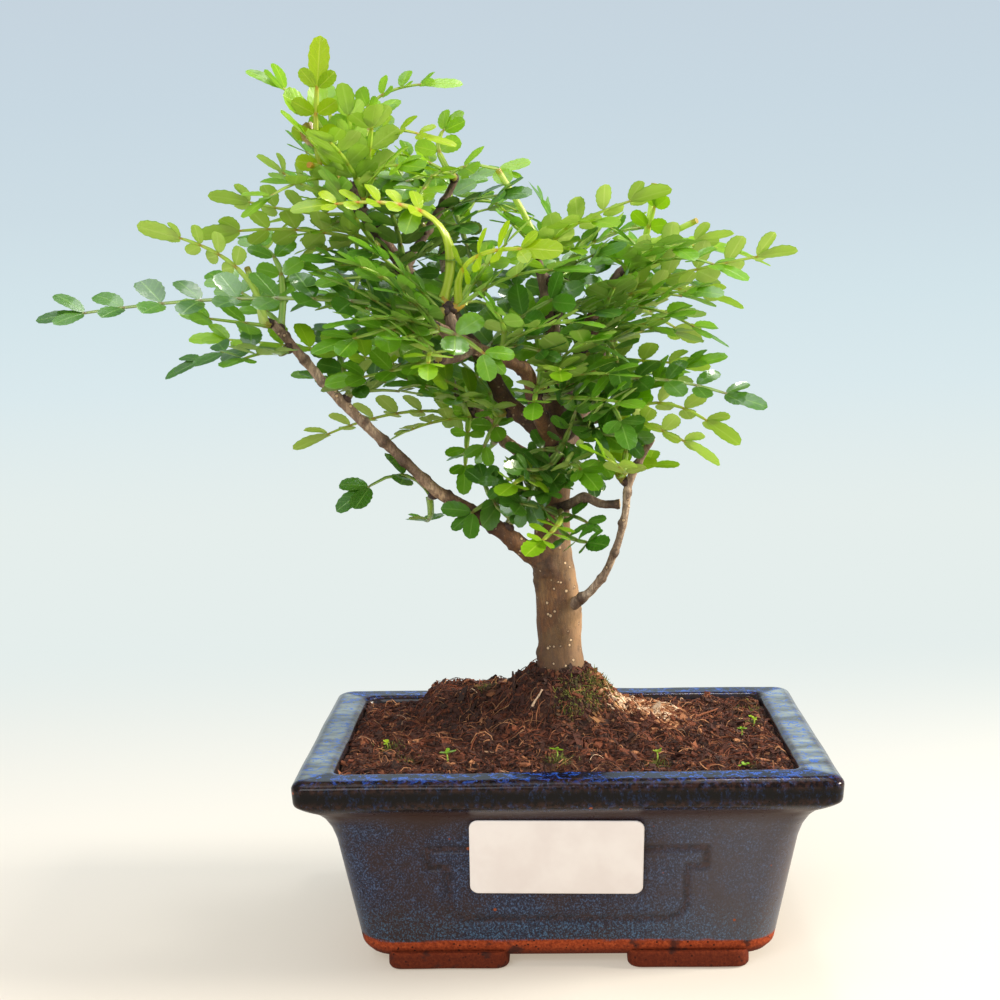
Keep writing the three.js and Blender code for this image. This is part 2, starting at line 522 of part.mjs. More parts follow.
// A tapering round tube through rows of [x, y, z, radius], with flat ends and a slightly uneven skin.
function tube(rows, sides, unevenness) {
  const places = rows.map(([x, y, z]) => new THREE.Vector3(x, y, z));
  const course = new THREE.CatmullRomCurve3(places, false, 'centripetal');
  let side = new THREE.Vector3(1, 0, 0);
  return stackOfRings(rows.map(([x, y, z, radius], i) => {
    const tangent = course.getTangent(i / (rows.length - 1));
    side = side.addScaledVector(tangent, -side.dot(tangent)).normalize();
    const other = new THREE.Vector3().crossVectors(tangent, side);
    const ring = [];
    for (let k = 0; k < sides; k++) {
      const angle = 2 * Math.PI * k / sides;
      const lump = Math.sin(i * barkLumps.along + k * barkLumps.around + rows.length);
      const reach = radius * (1 + unevenness * lump);
      ring.push(new THREE.Vector3(x, y, z)
        .addScaledVector(side, reach * Math.cos(angle))
        .addScaledVector(other, reach * Math.sin(angle)).toArray());
    }
    return ring;
  }));
}

function makeWood() {
  let timber = null;
  for (const [name, rows] of Object.entries(wood)) {
    const branch = solidOf(tube(rows, tubeSides[name] ?? twigSides, barkUnevenness));
    timber = timber ? timber.add(branch) : branch;
  }
  return timber;
}

// The place on a branch nearest to a point: its centre line, radius there and way along.
function nearestWood(point) {
  let best = null;
  for (const rows of Object.values(wood)) {
    for (let i = 0; i + 1 < rows.length; i++) {
      const start = new THREE.Vector3(...rows[i].slice(0, 3));
      const end = new THREE.Vector3(...rows[i + 1].slice(0, 3));
      const line = new THREE.Line3(start, end);
      const part = line.closestPointToPointParameter(point, true);
      const centre = line.at(part, new THREE.Vector3());
      const radius = rows[i][3] * (1 - part) + rows[i + 1][3] * part;
      const distance = centre.distanceTo(point) - radius;
      if (!best || distance < best.distance) {
        best = { distance, centre, radius, way: end.sub(start).normalize() };
      }
    }
  }
  return best;
}

// A short prism with flat ends along a direction.
function prism(start, direction, length, startRadius, endRadius, sides) {
  const geometry = new THREE.CylinderGeometry(endRadius, startRadius, length, sides);
  geometry.translate(0, length / 2, 0);
  geometry.applyQuaternion(new THREE.Quaternion().setFromUnitVectors(new THREE.Vector3(0, 1, 0), direction));
  geometry.translate(start.x, start.y, start.z);
  return geometry;
}

// Axis of a spray's bud: toward the middle of its leaves, but mostly square to the branch.
function budAxis(place, leaves) {
  const axis = new THREE.Vector3();
  for (const leaf of leaves) {
    axis.add(new THREE.Vector3(...leaf.slice(0, 3)).sub(place.centre).normalize());
  }
  return axis.addScaledVector(place.way, -budSquareness * axis.dot(place.way)).normalize();
}

// A bud starts just outside the bark: it moves out along its axis until it is clear of the wood.
function seatOf([bud, ...leaves], timber) {
  const place = nearestWood(new THREE.Vector3(...bud));
  const axis = budAxis(place, leaves);
  let reach = place.radius * budSink;
  let start = null;
  do {
    reach += budStep;
    start = place.centre.clone().addScaledVector(axis, reach);
    const foot = start.clone().addScaledVector(axis, -clearance);
    const tested = solidOf(prism(foot, axis, budLength, budRadius, budRadius, budSides));
    if (tested.intersect(timber).isEmpty()) break;
  } while (reach < place.radius + budLength);
  return { start, axis };
}

// Where on the bud a leaf starts, by its share of the bud's length.
function leafBase({ start, axis }, share) {
  return start.clone().addScaledVector(axis, budLength * share);
}

// The leaf that points most along the bud's axis starts nearest to the bud's tip.
function leafBases(seat, rows) {
  const alignment = (row) => new THREE.Vector3(...row.slice(0, 3)).sub(seat.start).normalize().dot(seat.axis);
  const ranked = [...rows].sort((a, b) => alignment(b) - alignment(a));
  return rows.map((row) => leafBase(seat, leafSeats[ranked.indexOf(row)]));
}

// Rib of a leaf: a quadratic curve through its bud, middle and tip, measured along its length.
function ribOf(base, middle, tip) {
  const control = middle.clone().multiplyScalar(2).addScaledVector(base, -0.5).addScaledVector(tip, -0.5);
  return new THREE.QuadraticBezierCurve3(base, control, tip);
}

// Flat outline of a compound leaf: x along the rib, y across it, cut to the rib between the leaflets.
// Without its stalk it starts a little before the first leaflets. It comes with its number of pairs.
function leafOutline(length, bare, margin, stalked) {
  const endLength = Math.min(leafletLength, length * endLeaflet.shareOfLeaf);
  const bladeStart = bare * length;
  const bladeEnd = length - endLength;
  const pairs = Math.max(1, Math.round((bladeEnd - bladeStart) / leafletPitch));
  const pitch = (bladeEnd - bladeStart) / pairs;
  const size = Math.min(1, crowdedSize + pitch / leafletPitch);
  const half = ribHalfWidth + margin;
  const side = [[stalked ? 0 : bladeLead * bladeStart, half]];
  for (let i = 0; i < pairs; i++) {
    const last = i === pairs - 1;
    const angle = last ? lastPairAngle : leafletAngle;
    const along = bladeStart + pitch * (i + 0.5);
    side.push([along - leafletFootHalf, half]);
    const taper = leafletTaper.ends + leafletTaper.middle * Math.sin(Math.PI * (i + 1) / (pairs + 1));
    const long = leafletLength * size * taper + margin;
    const wide = leafletWidth * size * taper / 2 + margin;
    for (const [a, b] of leafletCorners) {
      side.push([
        along + a * long * Math.cos(angle) - b * wide * Math.sin(angle),
        half + a * long * Math.sin(angle) + b * wide * Math.cos(angle),
      ]);
    }
    side.push([last ? bladeEnd + endLeaflet.neck : along + leafletFootHalf, half]);
  }
  const endWide = Math.min(leafletWidth / 2, endLength * endLeaflet.halfWidth) + margin;
  side.push([bladeEnd + endLength * endLeaflet.widestAt, endWide]);
  return { pairs, outline: [...side.map(([x, y]) => [x, -y]), [length + margin, 0], ...side.reverse()] };
}

// Triangles of that outline, by its points' numbers: a fan for each leaflet from the first point of its foot,
// a strip along the rib, and the end leaflet from its tip. None lies along the rib's edge, where it would stand
// upright on an arched leaf.
function leafTriangles(pairs) {
  const step = leafletCorners.length + 2;
  const neck = pairs * step;
  const tip = neck + 2;
  const across = (i) => 2 * tip - i;
  const edge = [0];
  const side = [[neck, neck + 1, tip]];
  for (let foot = 1; foot < neck; foot += step) {
    edge.push(foot, foot + step - 1);
    for (let corner = foot + 1; corner < foot + step - 1; corner++) {
      side.push([foot, corner, corner + 1]);
    }
  }
  const strip = edge.slice(1).flatMap((next, i) => [
    [edge[i], next, across(next)], [edge[i], across(next), across(edge[i])]]);
  const otherSide = side.map(([a, b, c]) => [across(a), across(c), across(b)]);
  return [...side, ...otherSide, ...strip, [neck, tip, across(neck)]];
}

// A leaf's blade: the outline laid along the arched rib, its leaflets rising from it. The upper face is the
// lower one moved by the thickness, so the two are split alike and never touch.
function leafGeometry({ base, middle, tip, face, bare }, thickness, margin = 0, stalked = true) {
  const rib = ribOf(base, middle, tip);
  const length = rib.getLength();
  const { pairs, outline } = leafOutline(length, bare, margin, stalked);
  const facing = new THREE.Vector3(0, -Math.sin(degrees(face)), Math.cos(degrees(face)));
  const along = tip.clone().sub(base).normalize();
  const normal = facing.clone().addScaledVector(along, -facing.dot(along)).normalize();
  const across = new THREE.Vector3().crossVectors(normal, along);
  const points = [];
  for (const sign of [1, -1]) {
    for (const [x, y] of outline) {
      const share = Math.min(1, x / length);
      const point = rib.getPointAt(share)
        .addScaledVector(along, x - share * length)
        .addScaledVector(across, y)
        .addScaledVector(normal, leafletRise * Math.abs(y) + sign * thickness / 2);
      points.push(point.toArray());
    }
  }
  const count = outline.length;
  const faces = leafTriangles(pairs).flatMap(([a, b, c]) => [[a, b, c], [count + a, count + c, count + b]]);
  for (let i = 0; i < count; i++) {
    const j = (i + 1) % count;
    faces.push([i, count + j, j], [i, count + i, count + j]);
  }
  return fromPoints(points, faces);
}

// Small changes of a leaf's pose, the smallest first: lean up or down, turn, roll, then shorten.
const poses = [];
for (const scale of poseScales) {
  for (const roll of poseRolls) {
    for (const lean of poseLeans) {
      for (const turn of poseTurns) {
        const cost = Math.abs(lean) * poseCost.lean + Math.abs(turn) * poseCost.turn
          + Math.abs(roll) * poseCost.roll + (1 - scale) * poseCost.shortening;
        poses.push({ scale, roll, lean, turn, cost });
      }
    }
  }
}
poses.sort((a, b) => a.cost - b.cost);

// A leaf of the table after such a change.
function posedLeaf(base, row, pose) {
  const away = new THREE.Vector3(...row.slice(3, 6)).sub(base);
  const hinge = new THREE.Vector3().crossVectors(away, up).normalize();
  const change = (place) => new THREE.Vector3(...place).sub(base)
    .applyAxisAngle(hinge, degrees(pose.lean))
    .applyAxisAngle(up, degrees(pose.turn))
    .multiplyScalar(pose.scale).add(base);
  const [middle, tip] = [change(row.slice(0, 3)), change(row.slice(3, 6))];
  return { base, middle, tip, face: row[6] + pose.roll, bare: row[7] };
}

// Short leaves that fill the crown: round the bud's axis, the widest gap between its other leaves first.
function fillingLeaves(seat, leaves, index) {
  const { axis } = seat;
  const base = leafBase(seat, fillingSeat);
  const side = new THREE.Vector3().crossVectors(axis, up).normalize();
  const other = new THREE.Vector3().crossVectors(side, axis);
  const taken = leaves.map((leaf) => leaf.middle.clone().sub(base).normalize());
  const ways = [];
  for (let i = 0; i < fillingWays; i++) {
    const angle = 2 * Math.PI * i / fillingWays + index;
    const way = axis.clone().multiplyScalar(Math.cos(fillingSpread))
      .addScaledVector(side, Math.sin(fillingSpread) * Math.cos(angle))
      .addScaledVector(other, Math.sin(fillingSpread) * Math.sin(angle));
    way.z *= fillingFlatness;
    way.normalize();
    ways.push({ way, nearness: Math.max(...taken.map((direction) => direction.dot(way))) });
  }
  ways.sort((a, b) => a.nearness - b.nearness);
  const length = fillingLength + fillingVariation * Math.sin(index * fillingRhythm);
  const open = ways.filter(({ nearness }) => nearness < fillingNearness);
  return open.flatMap(({ way }) => fillingScales.map((scale) => ({
    base,
    middle: base.clone().addScaledVector(way, length * scale / 2).addScaledVector(up, fillingArch * length),
    tip: base.clone().addScaledVector(way, length * scale),
    face: way.y < 0 ? fillingFace.front : fillingFace.back,
    bare: fillingBare,
  })));
}

// What is placed so far, each with its box, and a leaf also without its stalk.
const placed = [];
function place(name, geometry, blade = null) {
  geometry.computeBoundingBox();
  placed.push({ name, box: geometry.boundingBox, solid: solidOf(geometry), blade: blade && solidOf(blade) });
}

// Whether a leaf is clear of the wood, of all other sprays, and beyond its stalk of its own spray's leaves.
function isClear(name, leaf, timber) {
  const swollen = leafGeometry(leaf, bladeThickness + 2 * leafMargin, clearance);
  swollen.computeBoundingBox();
  const near = placed.filter(({ box }) => box.intersectsBox(swollen.boundingBox));
  const body = solidOf(swollen);
  const others = near.filter((other) => other.name !== name);
  if (!others.every(({ solid }) => body.intersect(solid).isEmpty())) return false;
  const blade = solidOf(leafGeometry(leaf, bladeThickness, clearance, false));
  const own = near.filter((other) => other.name === name && other.blade);
  return own.every((other) => blade.intersect(other.blade).isEmpty()) && body.intersect(timber).isEmpty();
}

// Leaves are placed one after another; each takes the first of its choices that is clear.
function placeLeaf(name, choices, timber) {
  const leaf = choices.find((choice) => isClear(name, choice, timber));
  if (leaf) {
    place(name, leafGeometry(leaf, bladeThickness), leafGeometry(leaf, bladeThickness, 0, false));
  }
  return leaf;
}

function makeFoliage(timber) {
  const clusters = Object.entries(sprays).map(([name, spray]) => {
    const seat = seatOf(spray, timber);
    place(name, prism(seat.start, seat.axis, budLength, budRadius, budRadius * budTaper, budSides));
    for (const end of cutShoots[name] ?? []) {
      const foot = leafBase(seat, leafSeats[0]);
      const way = new THREE.Vector3(...end).sub(foot);
      const length = way.length();
      const shoot = prism(foot, way.normalize(), length, shootRadius, shootRadius * shootTaper, budSides);
      place(name, shoot);
    }
    return { name, spray, seat };
  });
  for (const cluster of clusters) {
    const rows = cluster.spray.slice(1);
    const bases = leafBases(cluster.seat, rows);
    cluster.leaves = rows.map((row, i) => placeLeaf(
      cluster.name, poses.map((pose) => posedLeaf(bases[i], row, pose)), timber));
  }
  clusters.forEach((cluster, index) => {
    const [x, , z] = cluster.spray[0];
    if (z < fillingFrom || Math.abs(x - fillingCentreX) > fillingHalfX) return;
    placeLeaf(cluster.name, fillingLeaves(cluster.seat, cluster.leaves.filter(Boolean), index), timber);
  });
  for (const { name, spray } of clusters) {
    const body = placed.filter((other) => other.name === name).map((other) => other.solid)
      .reduce((whole, solid) => whole.add(solid));
    const tone = spray[1][8];
    addNode(`foliage_${name}`, body, { color: leafColours[tone], roughness: leafRoughness, metalness: 0 });
  }
}

const timber = makeWood();
const trunkHole = tube(wood.trunk.map(([x, y, z, radius], i) => (
  [x, y, i ? z : z - clearance, radius + trunkHoleGap])), tubeSides.trunk, barkUnevenness);
addNode('pot', makePot(), looks.glaze);
addNode('soil', makeSoil(solidOf(trunkHole)), looks.soil);
addNode('card_label', makeCard(), looks.card);
addNode('trunk_and_branches', timber, looks.bark);
makeFoliage(timber);

// The origin is on the table under the middle of the whole.
const bounds = new THREE.Box3().setFromObject(bonsai);
const middle = bounds.getCenter(new THREE.Vector3());
bonsai.position.set(-middle.x, -middle.y, -bounds.min.z);

export default bonsai;
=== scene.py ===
"""Looks of a potted Japanese pepper bonsai.

Shapes are worked out in millimetres in the tree's own axes: the pot's middle stands at (0, POT_Y), its
front faces -Y and the table is at height 0. put_in_frame turns them into metres in the CAD frame.
"""

import bpy
import numpy as np
from mathutils import Matrix, Vector


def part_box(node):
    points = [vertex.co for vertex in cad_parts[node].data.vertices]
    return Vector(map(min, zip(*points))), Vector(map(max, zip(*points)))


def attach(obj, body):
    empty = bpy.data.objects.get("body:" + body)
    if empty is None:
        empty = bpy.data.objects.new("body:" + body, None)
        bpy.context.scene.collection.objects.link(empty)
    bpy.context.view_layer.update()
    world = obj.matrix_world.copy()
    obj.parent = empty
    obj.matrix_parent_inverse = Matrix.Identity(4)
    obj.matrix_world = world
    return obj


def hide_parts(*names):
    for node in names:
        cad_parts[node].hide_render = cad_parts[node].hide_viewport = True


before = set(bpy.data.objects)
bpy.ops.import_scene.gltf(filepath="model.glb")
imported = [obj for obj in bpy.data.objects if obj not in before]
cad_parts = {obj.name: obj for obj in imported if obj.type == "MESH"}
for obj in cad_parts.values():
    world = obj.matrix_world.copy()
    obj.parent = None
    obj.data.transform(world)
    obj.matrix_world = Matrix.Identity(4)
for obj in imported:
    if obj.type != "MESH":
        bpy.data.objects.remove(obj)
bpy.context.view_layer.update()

POT_Y = 2.5
pot_low, pot_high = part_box("pot")
TREE_ORIGIN = np.array([(pot_low.x + pot_high.x) / 2, (pot_low.y + pot_high.y) / 2 - POT_Y / 1000, 0.0])
POT_MIDDLE_X = float(TREE_ORIGIN[0]) * 1000
POT_MIDDLE_Y = float(TREE_ORIGIN[1]) * 1000 + POT_Y
UP = np.array([0.0, 0.0, 1.0])
chance = np.random.default_rng(26)
LATTICE = np.random.default_rng(7).uniform(-1, 1, 4096)


def put_in_frame(points):
    return np.asarray(points) / 1000 + TREE_ORIGIN


def cad_points(node):
    """Points of a CAD node, in the tree's own millimetres."""
    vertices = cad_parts[node].data.vertices
    points = np.empty(3 * len(vertices), np.float32)
    vertices.foreach_get("co", points)
    return (points.reshape(-1, 3).astype(float) - TREE_ORIGIN) * 1000


def unit(vectors):
    return vectors / np.maximum(np.linalg.norm(vectors, axis=-1, keepdims=True), 1e-9)


def dot(a, b):
    return np.sum(a * b, axis=-1, keepdims=True)


def turned(vectors, axis, angle):
    """Vectors turned about a unit axis: the part along the axis stays, the rest turns by the angle."""
    angle = np.asarray(angle)[..., None]
    along = dot(vectors, axis) * axis
    return along + (vectors - along) * np.cos(angle) + np.cross(axis, vectors) * np.sin(angle)


def smooth(low, high, value):
    """0 below low, 1 above high, and an eased cubic between them."""
    share = np.clip((value - low) / (high - low), 0, 1)
    return share * share * (3 - 2 * share)


def rough(points, cell, seed=0):
    """Noise from -1 to 1: a random value at each corner of a cubic lattice, eased between the corners."""
    points = np.asarray(points, float) / cell + 100
    corner = np.floor(points).astype(np.int64)
    ease = points - corner
    ease = ease * ease * (3 - 2 * ease)
    total = 0
    for step in np.ndindex(2, 2, 2):
        x, y, z = np.moveaxis(corner + step, -1, 0)
        value = LATTICE[(x * 73 + y * 1571 + z * 2903 + (x ^ (y * 3)) * 411 + seed * 977) % 4096]
        total = total + value * np.prod(np.where(np.array(step), ease, 1 - ease), axis=-1)
    return total


# Camera, first of all. The photograph spans PIXELS_PER_SLOPE pixels for a slope of one across its view.
CAMERA_PLACE = [-3.7, -481.6, 190.2]
CAMERA_WAY = unit(np.array([-0.0301, 0.9922, -0.1206]))
CAMERA_RIGHT = np.array([0.9994, 0.028, -0.0188])
CAMERA_RIGHT = unit(CAMERA_RIGHT - dot(CAMERA_RIGHT, CAMERA_WAY) * CAMERA_WAY)
CAMERA_UP = np.cross(CAMERA_RIGHT, CAMERA_WAY)
CAMERA_LENS, CAMERA_SENSOR = 58.03, 36
PIXELS_PER_SLOPE = 1612


def link(thing):
    bpy.context.scene.collection.objects.link(thing)
    return thing


def make_camera():
    data = bpy.data.cameras.new("camera")
    data.lens, data.sensor_width = CAMERA_LENS, CAMERA_SENSOR
    data.clip_start, data.clip_end = 0.01, 20
    camera = link(bpy.data.objects.new("camera", data))
    turn = Matrix(np.column_stack([CAMERA_RIGHT, CAMERA_UP, -CAMERA_WAY]).tolist())
    camera.matrix_world = Matrix.Translation(Vector(put_in_frame(CAMERA_PLACE))) @ turn.to_4x4()
    bpy.context.scene.camera = camera


make_camera()


# Shader expressions.
def srgb(red, green, blue):
    """A colour given in screen numbers from 0 to 255, as linear light."""
    share = np.array([red, green, blue]) / 255
    linear = np.where(share <= 0.04045, share / 12.92, ((share + 0.055) / 1.055) ** 2.4)
    return tuple(float(value) for value in linear)


class Value:
    """A number's socket in a material: an expression on it adds its Math nodes."""

    def __init__(self, finish, socket):
        self.finish = finish
        self.socket = socket

    def math(self, operation, *numbers):
        return self.finish.node("Math", {"operation": operation}, dict(enumerate(numbers)))

    def __add__(self, other):
        return self.math("ADD", self, other)

    def __sub__(self, other):
        return self.math("SUBTRACT", self, other)

    def __rsub__(self, other):
        return self.math("SUBTRACT", other, self)

    def __mul__(self, other):
        return self.math("MULTIPLY", self, other)

    def __abs__(self):
        return self.math("ABSOLUTE", self)

    __radd__ = __add__
    __rmul__ = __mul__

    def wave(self):
        return self.math("SINE", self)

    def between(self, low, high):
        """0 at low and 1 at high, eased; the other way round where low is the larger."""
        return self.finish.node("MapRange", {"interpolation_type": "SMOOTHSTEP"},
                                {"Value": self, "From Min": low, "From Max": high})


class Finish:
    """The nodes of one material."""

    def __init__(self, name):
        self.material = bpy.data.materials.new(name)
        self.material.use_nodes = True
        self.tree = self.material.node_tree
        self.tree.nodes.clear()
        self.place = self.node("TexCoord", output="Object")

    def node(self, kind, settings=None, values=None, output=0):
        """One node of a kind: its settings first, then the values or links of its sockets. A colour is given
        in screen numbers."""
        node = self.tree.nodes.new("ShaderNode" + kind)
        for key, setting in (settings or {}).items():
            if key == "stops":
                stops = node.color_ramp.elements
                stops[0].position, stops[1].position = setting[0][0], setting[-1][0]
                for position, _ in setting[1:-1]:
                    stops.new(position)
                for stop, (_, colour) in zip(stops, setting):
                    stop.color = (*srgb(*colour), 1)
            else:
                setattr(node, key, setting)
        for key, value in (values or {}).items():
            socket = node.inputs[key]
            if isinstance(value, Value):
                self.tree.links.new(value.socket, socket)
            elif isinstance(value, tuple) and len(socket.default_value) == 4:
                socket.default_value = (*srgb(*value), 1)
            else:
                socket.default_value = value
        return Value(self, node.outputs[output])

    def noise(self, size, detail=3, roughness=0.55, stretch=(1, 1, 1), warp=0):
        """Noise whose grains are about size millimetres, longer along an axis with a stretch below 1."""
        place = self.node("Mapping", values={"Vector": self.place, "Scale": stretch})
        return self.node("TexNoise", None, {"Vector": place, "Scale": 1000 / size, "Detail": detail,
                                            "Roughness": roughness, "Distortion": warp})

    def cells(self, size):
        """Distance to the nearest of scattered points about size millimetres apart, in that size."""
        return self.node("TexVoronoi", None, {"Vector": self.place, "Scale": 1000 / size})

    def ramp(self, value, *stops):
        return self.node("ValToRGB", {"stops": stops}, {0: value})

    def mix(self, share, first, second):
        return self.node("Mix", {"data_type": "RGBA"}, {0: share, 6: first, 7: second}, 2)

    def coats(self, colour, *coats):
        """A colour with others laid over it one by one, each given as its share and its colour."""
        for share, over in coats:
            colour = self.mix(share, colour, over)
        return colour

    def bump(self, height, strength, depth, base=None):
        """A relief of the given depth in millimetres, over another one."""
        values = {"Height": height, "Strength": strength, "Distance": depth / 1000}
        return self.node("Bump", None, values if base is None else {**values, "Normal": base})

    def split(self, kind, value, count=3):
        node = self.node(kind, None, {0: value}).socket.node
        return [Value(self, node.outputs[i]) for i in range(count)]

    def tint(self):
        """What each corner of the mesh carries: four numbers."""
        colour = self.node("Attribute", {"attribute_name": "tint"}, output="Color")
        return [*self.split("SeparateColor", colour), Value(self, colour.socket.node.outputs["Alpha"])]

    def across_and_along(self):
        """The piece's own map: 0 to 1 across and 0 to 1 along."""
        return self.split("SeparateXYZ", self.node("UVMap", {"uv_map": "surface"}), 2)

    def places(self):
        """A point's x, y and z in the frame, in metres."""
        return self.split("SeparateXYZ", self.place)

    def solid(self, **values):
        return self.node("BsdfPrincipled", None, {key.replace("_", " "): v for key, v in values.items()})

    def done(self, shader):
        end = self.tree.nodes.new("ShaderNodeOutputMaterial")
        self.tree.links.new(shader.socket, end.inputs["Surface"])
        return self.material


# Meshes.
class Skin:
    """Closed surfaces of one piece: points, faces of four corners (-1 for a missing one), and per corner a
    place in the map and a tint. An edge between two creased points stays sharp."""

    def __init__(self):
        self.columns = {"points": [], "faces": [], "map": [], "tint": [], "finish": [], "crease": []}
        self.count = 0

    def add(self, points, faces, surface_map=0.0, tint=(0, 0, 0, 0), finish=0, crease=False):
        points = np.asarray(points, float).reshape(-1, 3)
        faces = np.asarray(faces)
        tint = np.asarray(tint, float)
        if tint.shape == (len(points), 4):
            tint = tint[faces]
        rows = {
            "points": points,
            "faces": np.where(faces < 0, -1, faces + self.count),
            "map": np.broadcast_to(surface_map, (*faces.shape, 2)),
            "tint": np.broadcast_to(tint, (*faces.shape, 4)),
            "finish": np.broadcast_to(finish, len(faces)),
            "crease": np.broadcast_to(crease, len(points)),
        }
        for key, value in rows.items():
            self.columns[key].append(value)
        self.count += len(points)

    def build(self, name, finishes, node=None, slot=None, rounded=True):
        data = {key: np.concatenate(value) for key, value in self.columns.items()}
        faces = data["faces"]
        real = faces >= 0
        sizes = real.sum(1)
        mesh = bpy.data.meshes.new(name)
        mesh.vertices.add(len(data["points"]))
        mesh.vertices.foreach_set("co", put_in_frame(data["points"]).astype(np.float32).ravel())
        mesh.loops.add(int(sizes.sum()))
        mesh.loops.foreach_set("vertex_index", faces[real].astype(np.int32))
        mesh.polygons.add(len(faces))
        mesh.polygons.foreach_set("loop_start", (np.cumsum(sizes) - sizes).astype(np.int32))
        mesh.polygons.foreach_set("material_index", data["finish"].astype(np.int32))
        mesh.polygons.foreach_set("use_smooth", np.full(len(faces), rounded))
        mesh.update(calc_edges=True)
        layer = mesh.uv_layers.new(name="surface")
        layer.data.foreach_set("uv", data["map"][real].astype(np.float32).ravel())
        colours = mesh.color_attributes.new(name="tint", type="FLOAT_COLOR", domain="CORNER")
        colours.data.foreach_set("color", data["tint"][real].astype(np.float32).ravel())
        ends = np.empty(2 * len(mesh.edges), np.int32)
        mesh.edges.foreach_get("vertices", ends)
        sharp = data["crease"][ends.reshape(-1, 2)].all(1)
        mesh.attributes.new("sharp_edge", "BOOLEAN", "EDGE").data.foreach_set("value", sharp)
        for finish in finishes:
            mesh.materials.append(finish)
        piece = link(bpy.data.objects.new(name, mesh))
        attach(piece, "root")
        if node:
            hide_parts(node)
        return piece


def ring_faces(rings, sides):
    """Faces of a stack of closed rings, closed at both ends by a fan round a pole: the poles come last."""
    low = (np.arange(rings - 1)[:, None] * sides + np.arange(sides)).ravel()
    turn = (np.arange(rings - 1)[:, None] * sides + (np.arange(sides) + 1) % sides).ravel()
    walls = np.stack([low, turn, turn + sides, low + sides], 1)
    k, j = np.arange(sides), (np.arange(sides) + 1) % sides
    first, last, pole = 0, (rings - 1) * sides, rings * sides
    none = np.full(sides, -1)
    start = np.stack([np.full(sides, pole), first + j, first + k, none], 1)
    end = np.stack([np.full(sides, pole + 1), last + k, last + j, none], 1)
    return np.concatenate([walls, start, end])


def ring_map(rings, sides):
    """Map of ring_faces: across goes once round, along goes from the first ring to the last."""
    k = np.tile(np.arange(sides), rings - 1) / sides
    r = np.repeat(np.arange(rings - 1), sides) / (rings - 1)
    step, rise = 1 / sides, 1 / (rings - 1)
    walls = np.stack([np.stack([k, r], 1), np.stack([k + step, r], 1),
                      np.stack([k + step, r + rise], 1), np.stack([k, r + rise], 1)], 1)
    fan = np.arange(sides) / sides
    caps = [np.stack([np.stack([fan, 0 * fan + end], 1)] * 4, 1) for end in (0.0, 1.0)]
    return np.concatenate([walls, *caps])


def closed(rings):
    """Points of a stack of rings with the two poles, each in the middle of its end ring."""
    return np.concatenate([rings.reshape(-1, 3), rings[:1].mean(1), rings[-1:].mean(1)])


def add_forms(skin, points, form_faces, surface_map, tint, finish=0, crease=False):
    """Adds many small closed forms with the same faces: points has a row for each form, and tint has a row
    for each form, or one more level for each face."""
    count, size = points.shape[:2]
    faces = np.where(form_faces < 0, -1, form_faces + size * np.arange(count)[:, None, None]).reshape(-1, 4)
    tint = np.asarray(tint)
    if tint.ndim == 2:
        tint = np.repeat(tint[:, None], len(form_faces), 1)
    tint = np.repeat(tint[:, :, None], 4, 2).reshape(-1, 4, 4)
    skin.add(points, faces, surface_map, tint, finish, crease)


def add_rings(skin, rings, tint=(0, 0, 0, 0), finish=0, sharp_ends=True):
    """Adds a closed stack of rings; tint is one for all or one for each point of the rings."""
    count, sides = rings.shape[:2]
    tint = np.asarray(tint, float)
    if tint.ndim == 3:
        tint = np.concatenate([tint.reshape(-1, 4), tint[:1].mean(1), tint[-1:].mean(1)])
    crease = np.zeros(count * sides + 2, bool)
    if sharp_ends:
        crease[:sides] = crease[(count - 1) * sides:count * sides] = True
    skin.add(closed(rings), ring_faces(count, sides), ring_map(count, sides), tint, finish, crease)


def carried(path):
    """Ways along a path, and a pair of square side ways that are carried along it without twisting."""
    way = unit(np.gradient(path, axis=0))
    side = np.empty_like(way)
    start = np.array([1.0, 0, 0]) if abs(way[0, 0]) < 0.9 else np.array([0, 1.0, 0])
    for i, tangent in enumerate(way):
        start = unit(start - dot(start, tangent) * tangent)
        side[i] = start
    return way, side, np.cross(way, side)


def rounded_course(rows, step):
    """A smooth curve through rows of numbers, the first three a place: cubic pieces whose ends lean as the
    rows beside them do, cut to lengths of about step."""
    rows = np.asarray(rows, float)
    gaps = np.linalg.norm(np.diff(rows[:, :3], axis=0), axis=1)
    place = np.concatenate([[0], np.cumsum(gaps)])
    slope = np.diff(rows, axis=0) / gaps[:, None]
    lean = np.empty_like(rows)
    lean[0], lean[-1] = slope[0], slope[-1]
    lean[1:-1] = (slope[:-1] * gaps[1:, None] + slope[1:] * gaps[:-1, None]) / (gaps[:-1] + gaps[1:])[:, None]
    at = np.linspace(0, place[-1], max(3, int(place[-1] / step) + 1))
    i = np.clip(np.searchsorted(place, at, side="right") - 1, 0, len(gaps) - 1)
    h, t = gaps[i][:, None], ((at - place[i]) / gaps[i])[:, None]
    return ((2 * t**3 - 3 * t**2 + 1) * rows[i] + (t**3 - 2 * t**2 + t) * h * lean[i]
            + (3 * t**2 - 2 * t**3) * rows[i + 1] + (t**3 - t**2) * h * lean[i + 1])


def tube(path, radius, sides):
    """Rings of points round a path: middle plus radius times the turning side way."""
    _, side, other = carried(path)
    angle = np.linspace(0, 2 * np.pi, sides, endpoint=False)[None, :, None]
    round_way = side[:, None] * np.cos(angle) + other[:, None] * np.sin(angle)
    radius = np.broadcast_to(np.asarray(radius, float), (len(path),))
    return path[:, None] + radius[:, None, None] * round_way, round_way


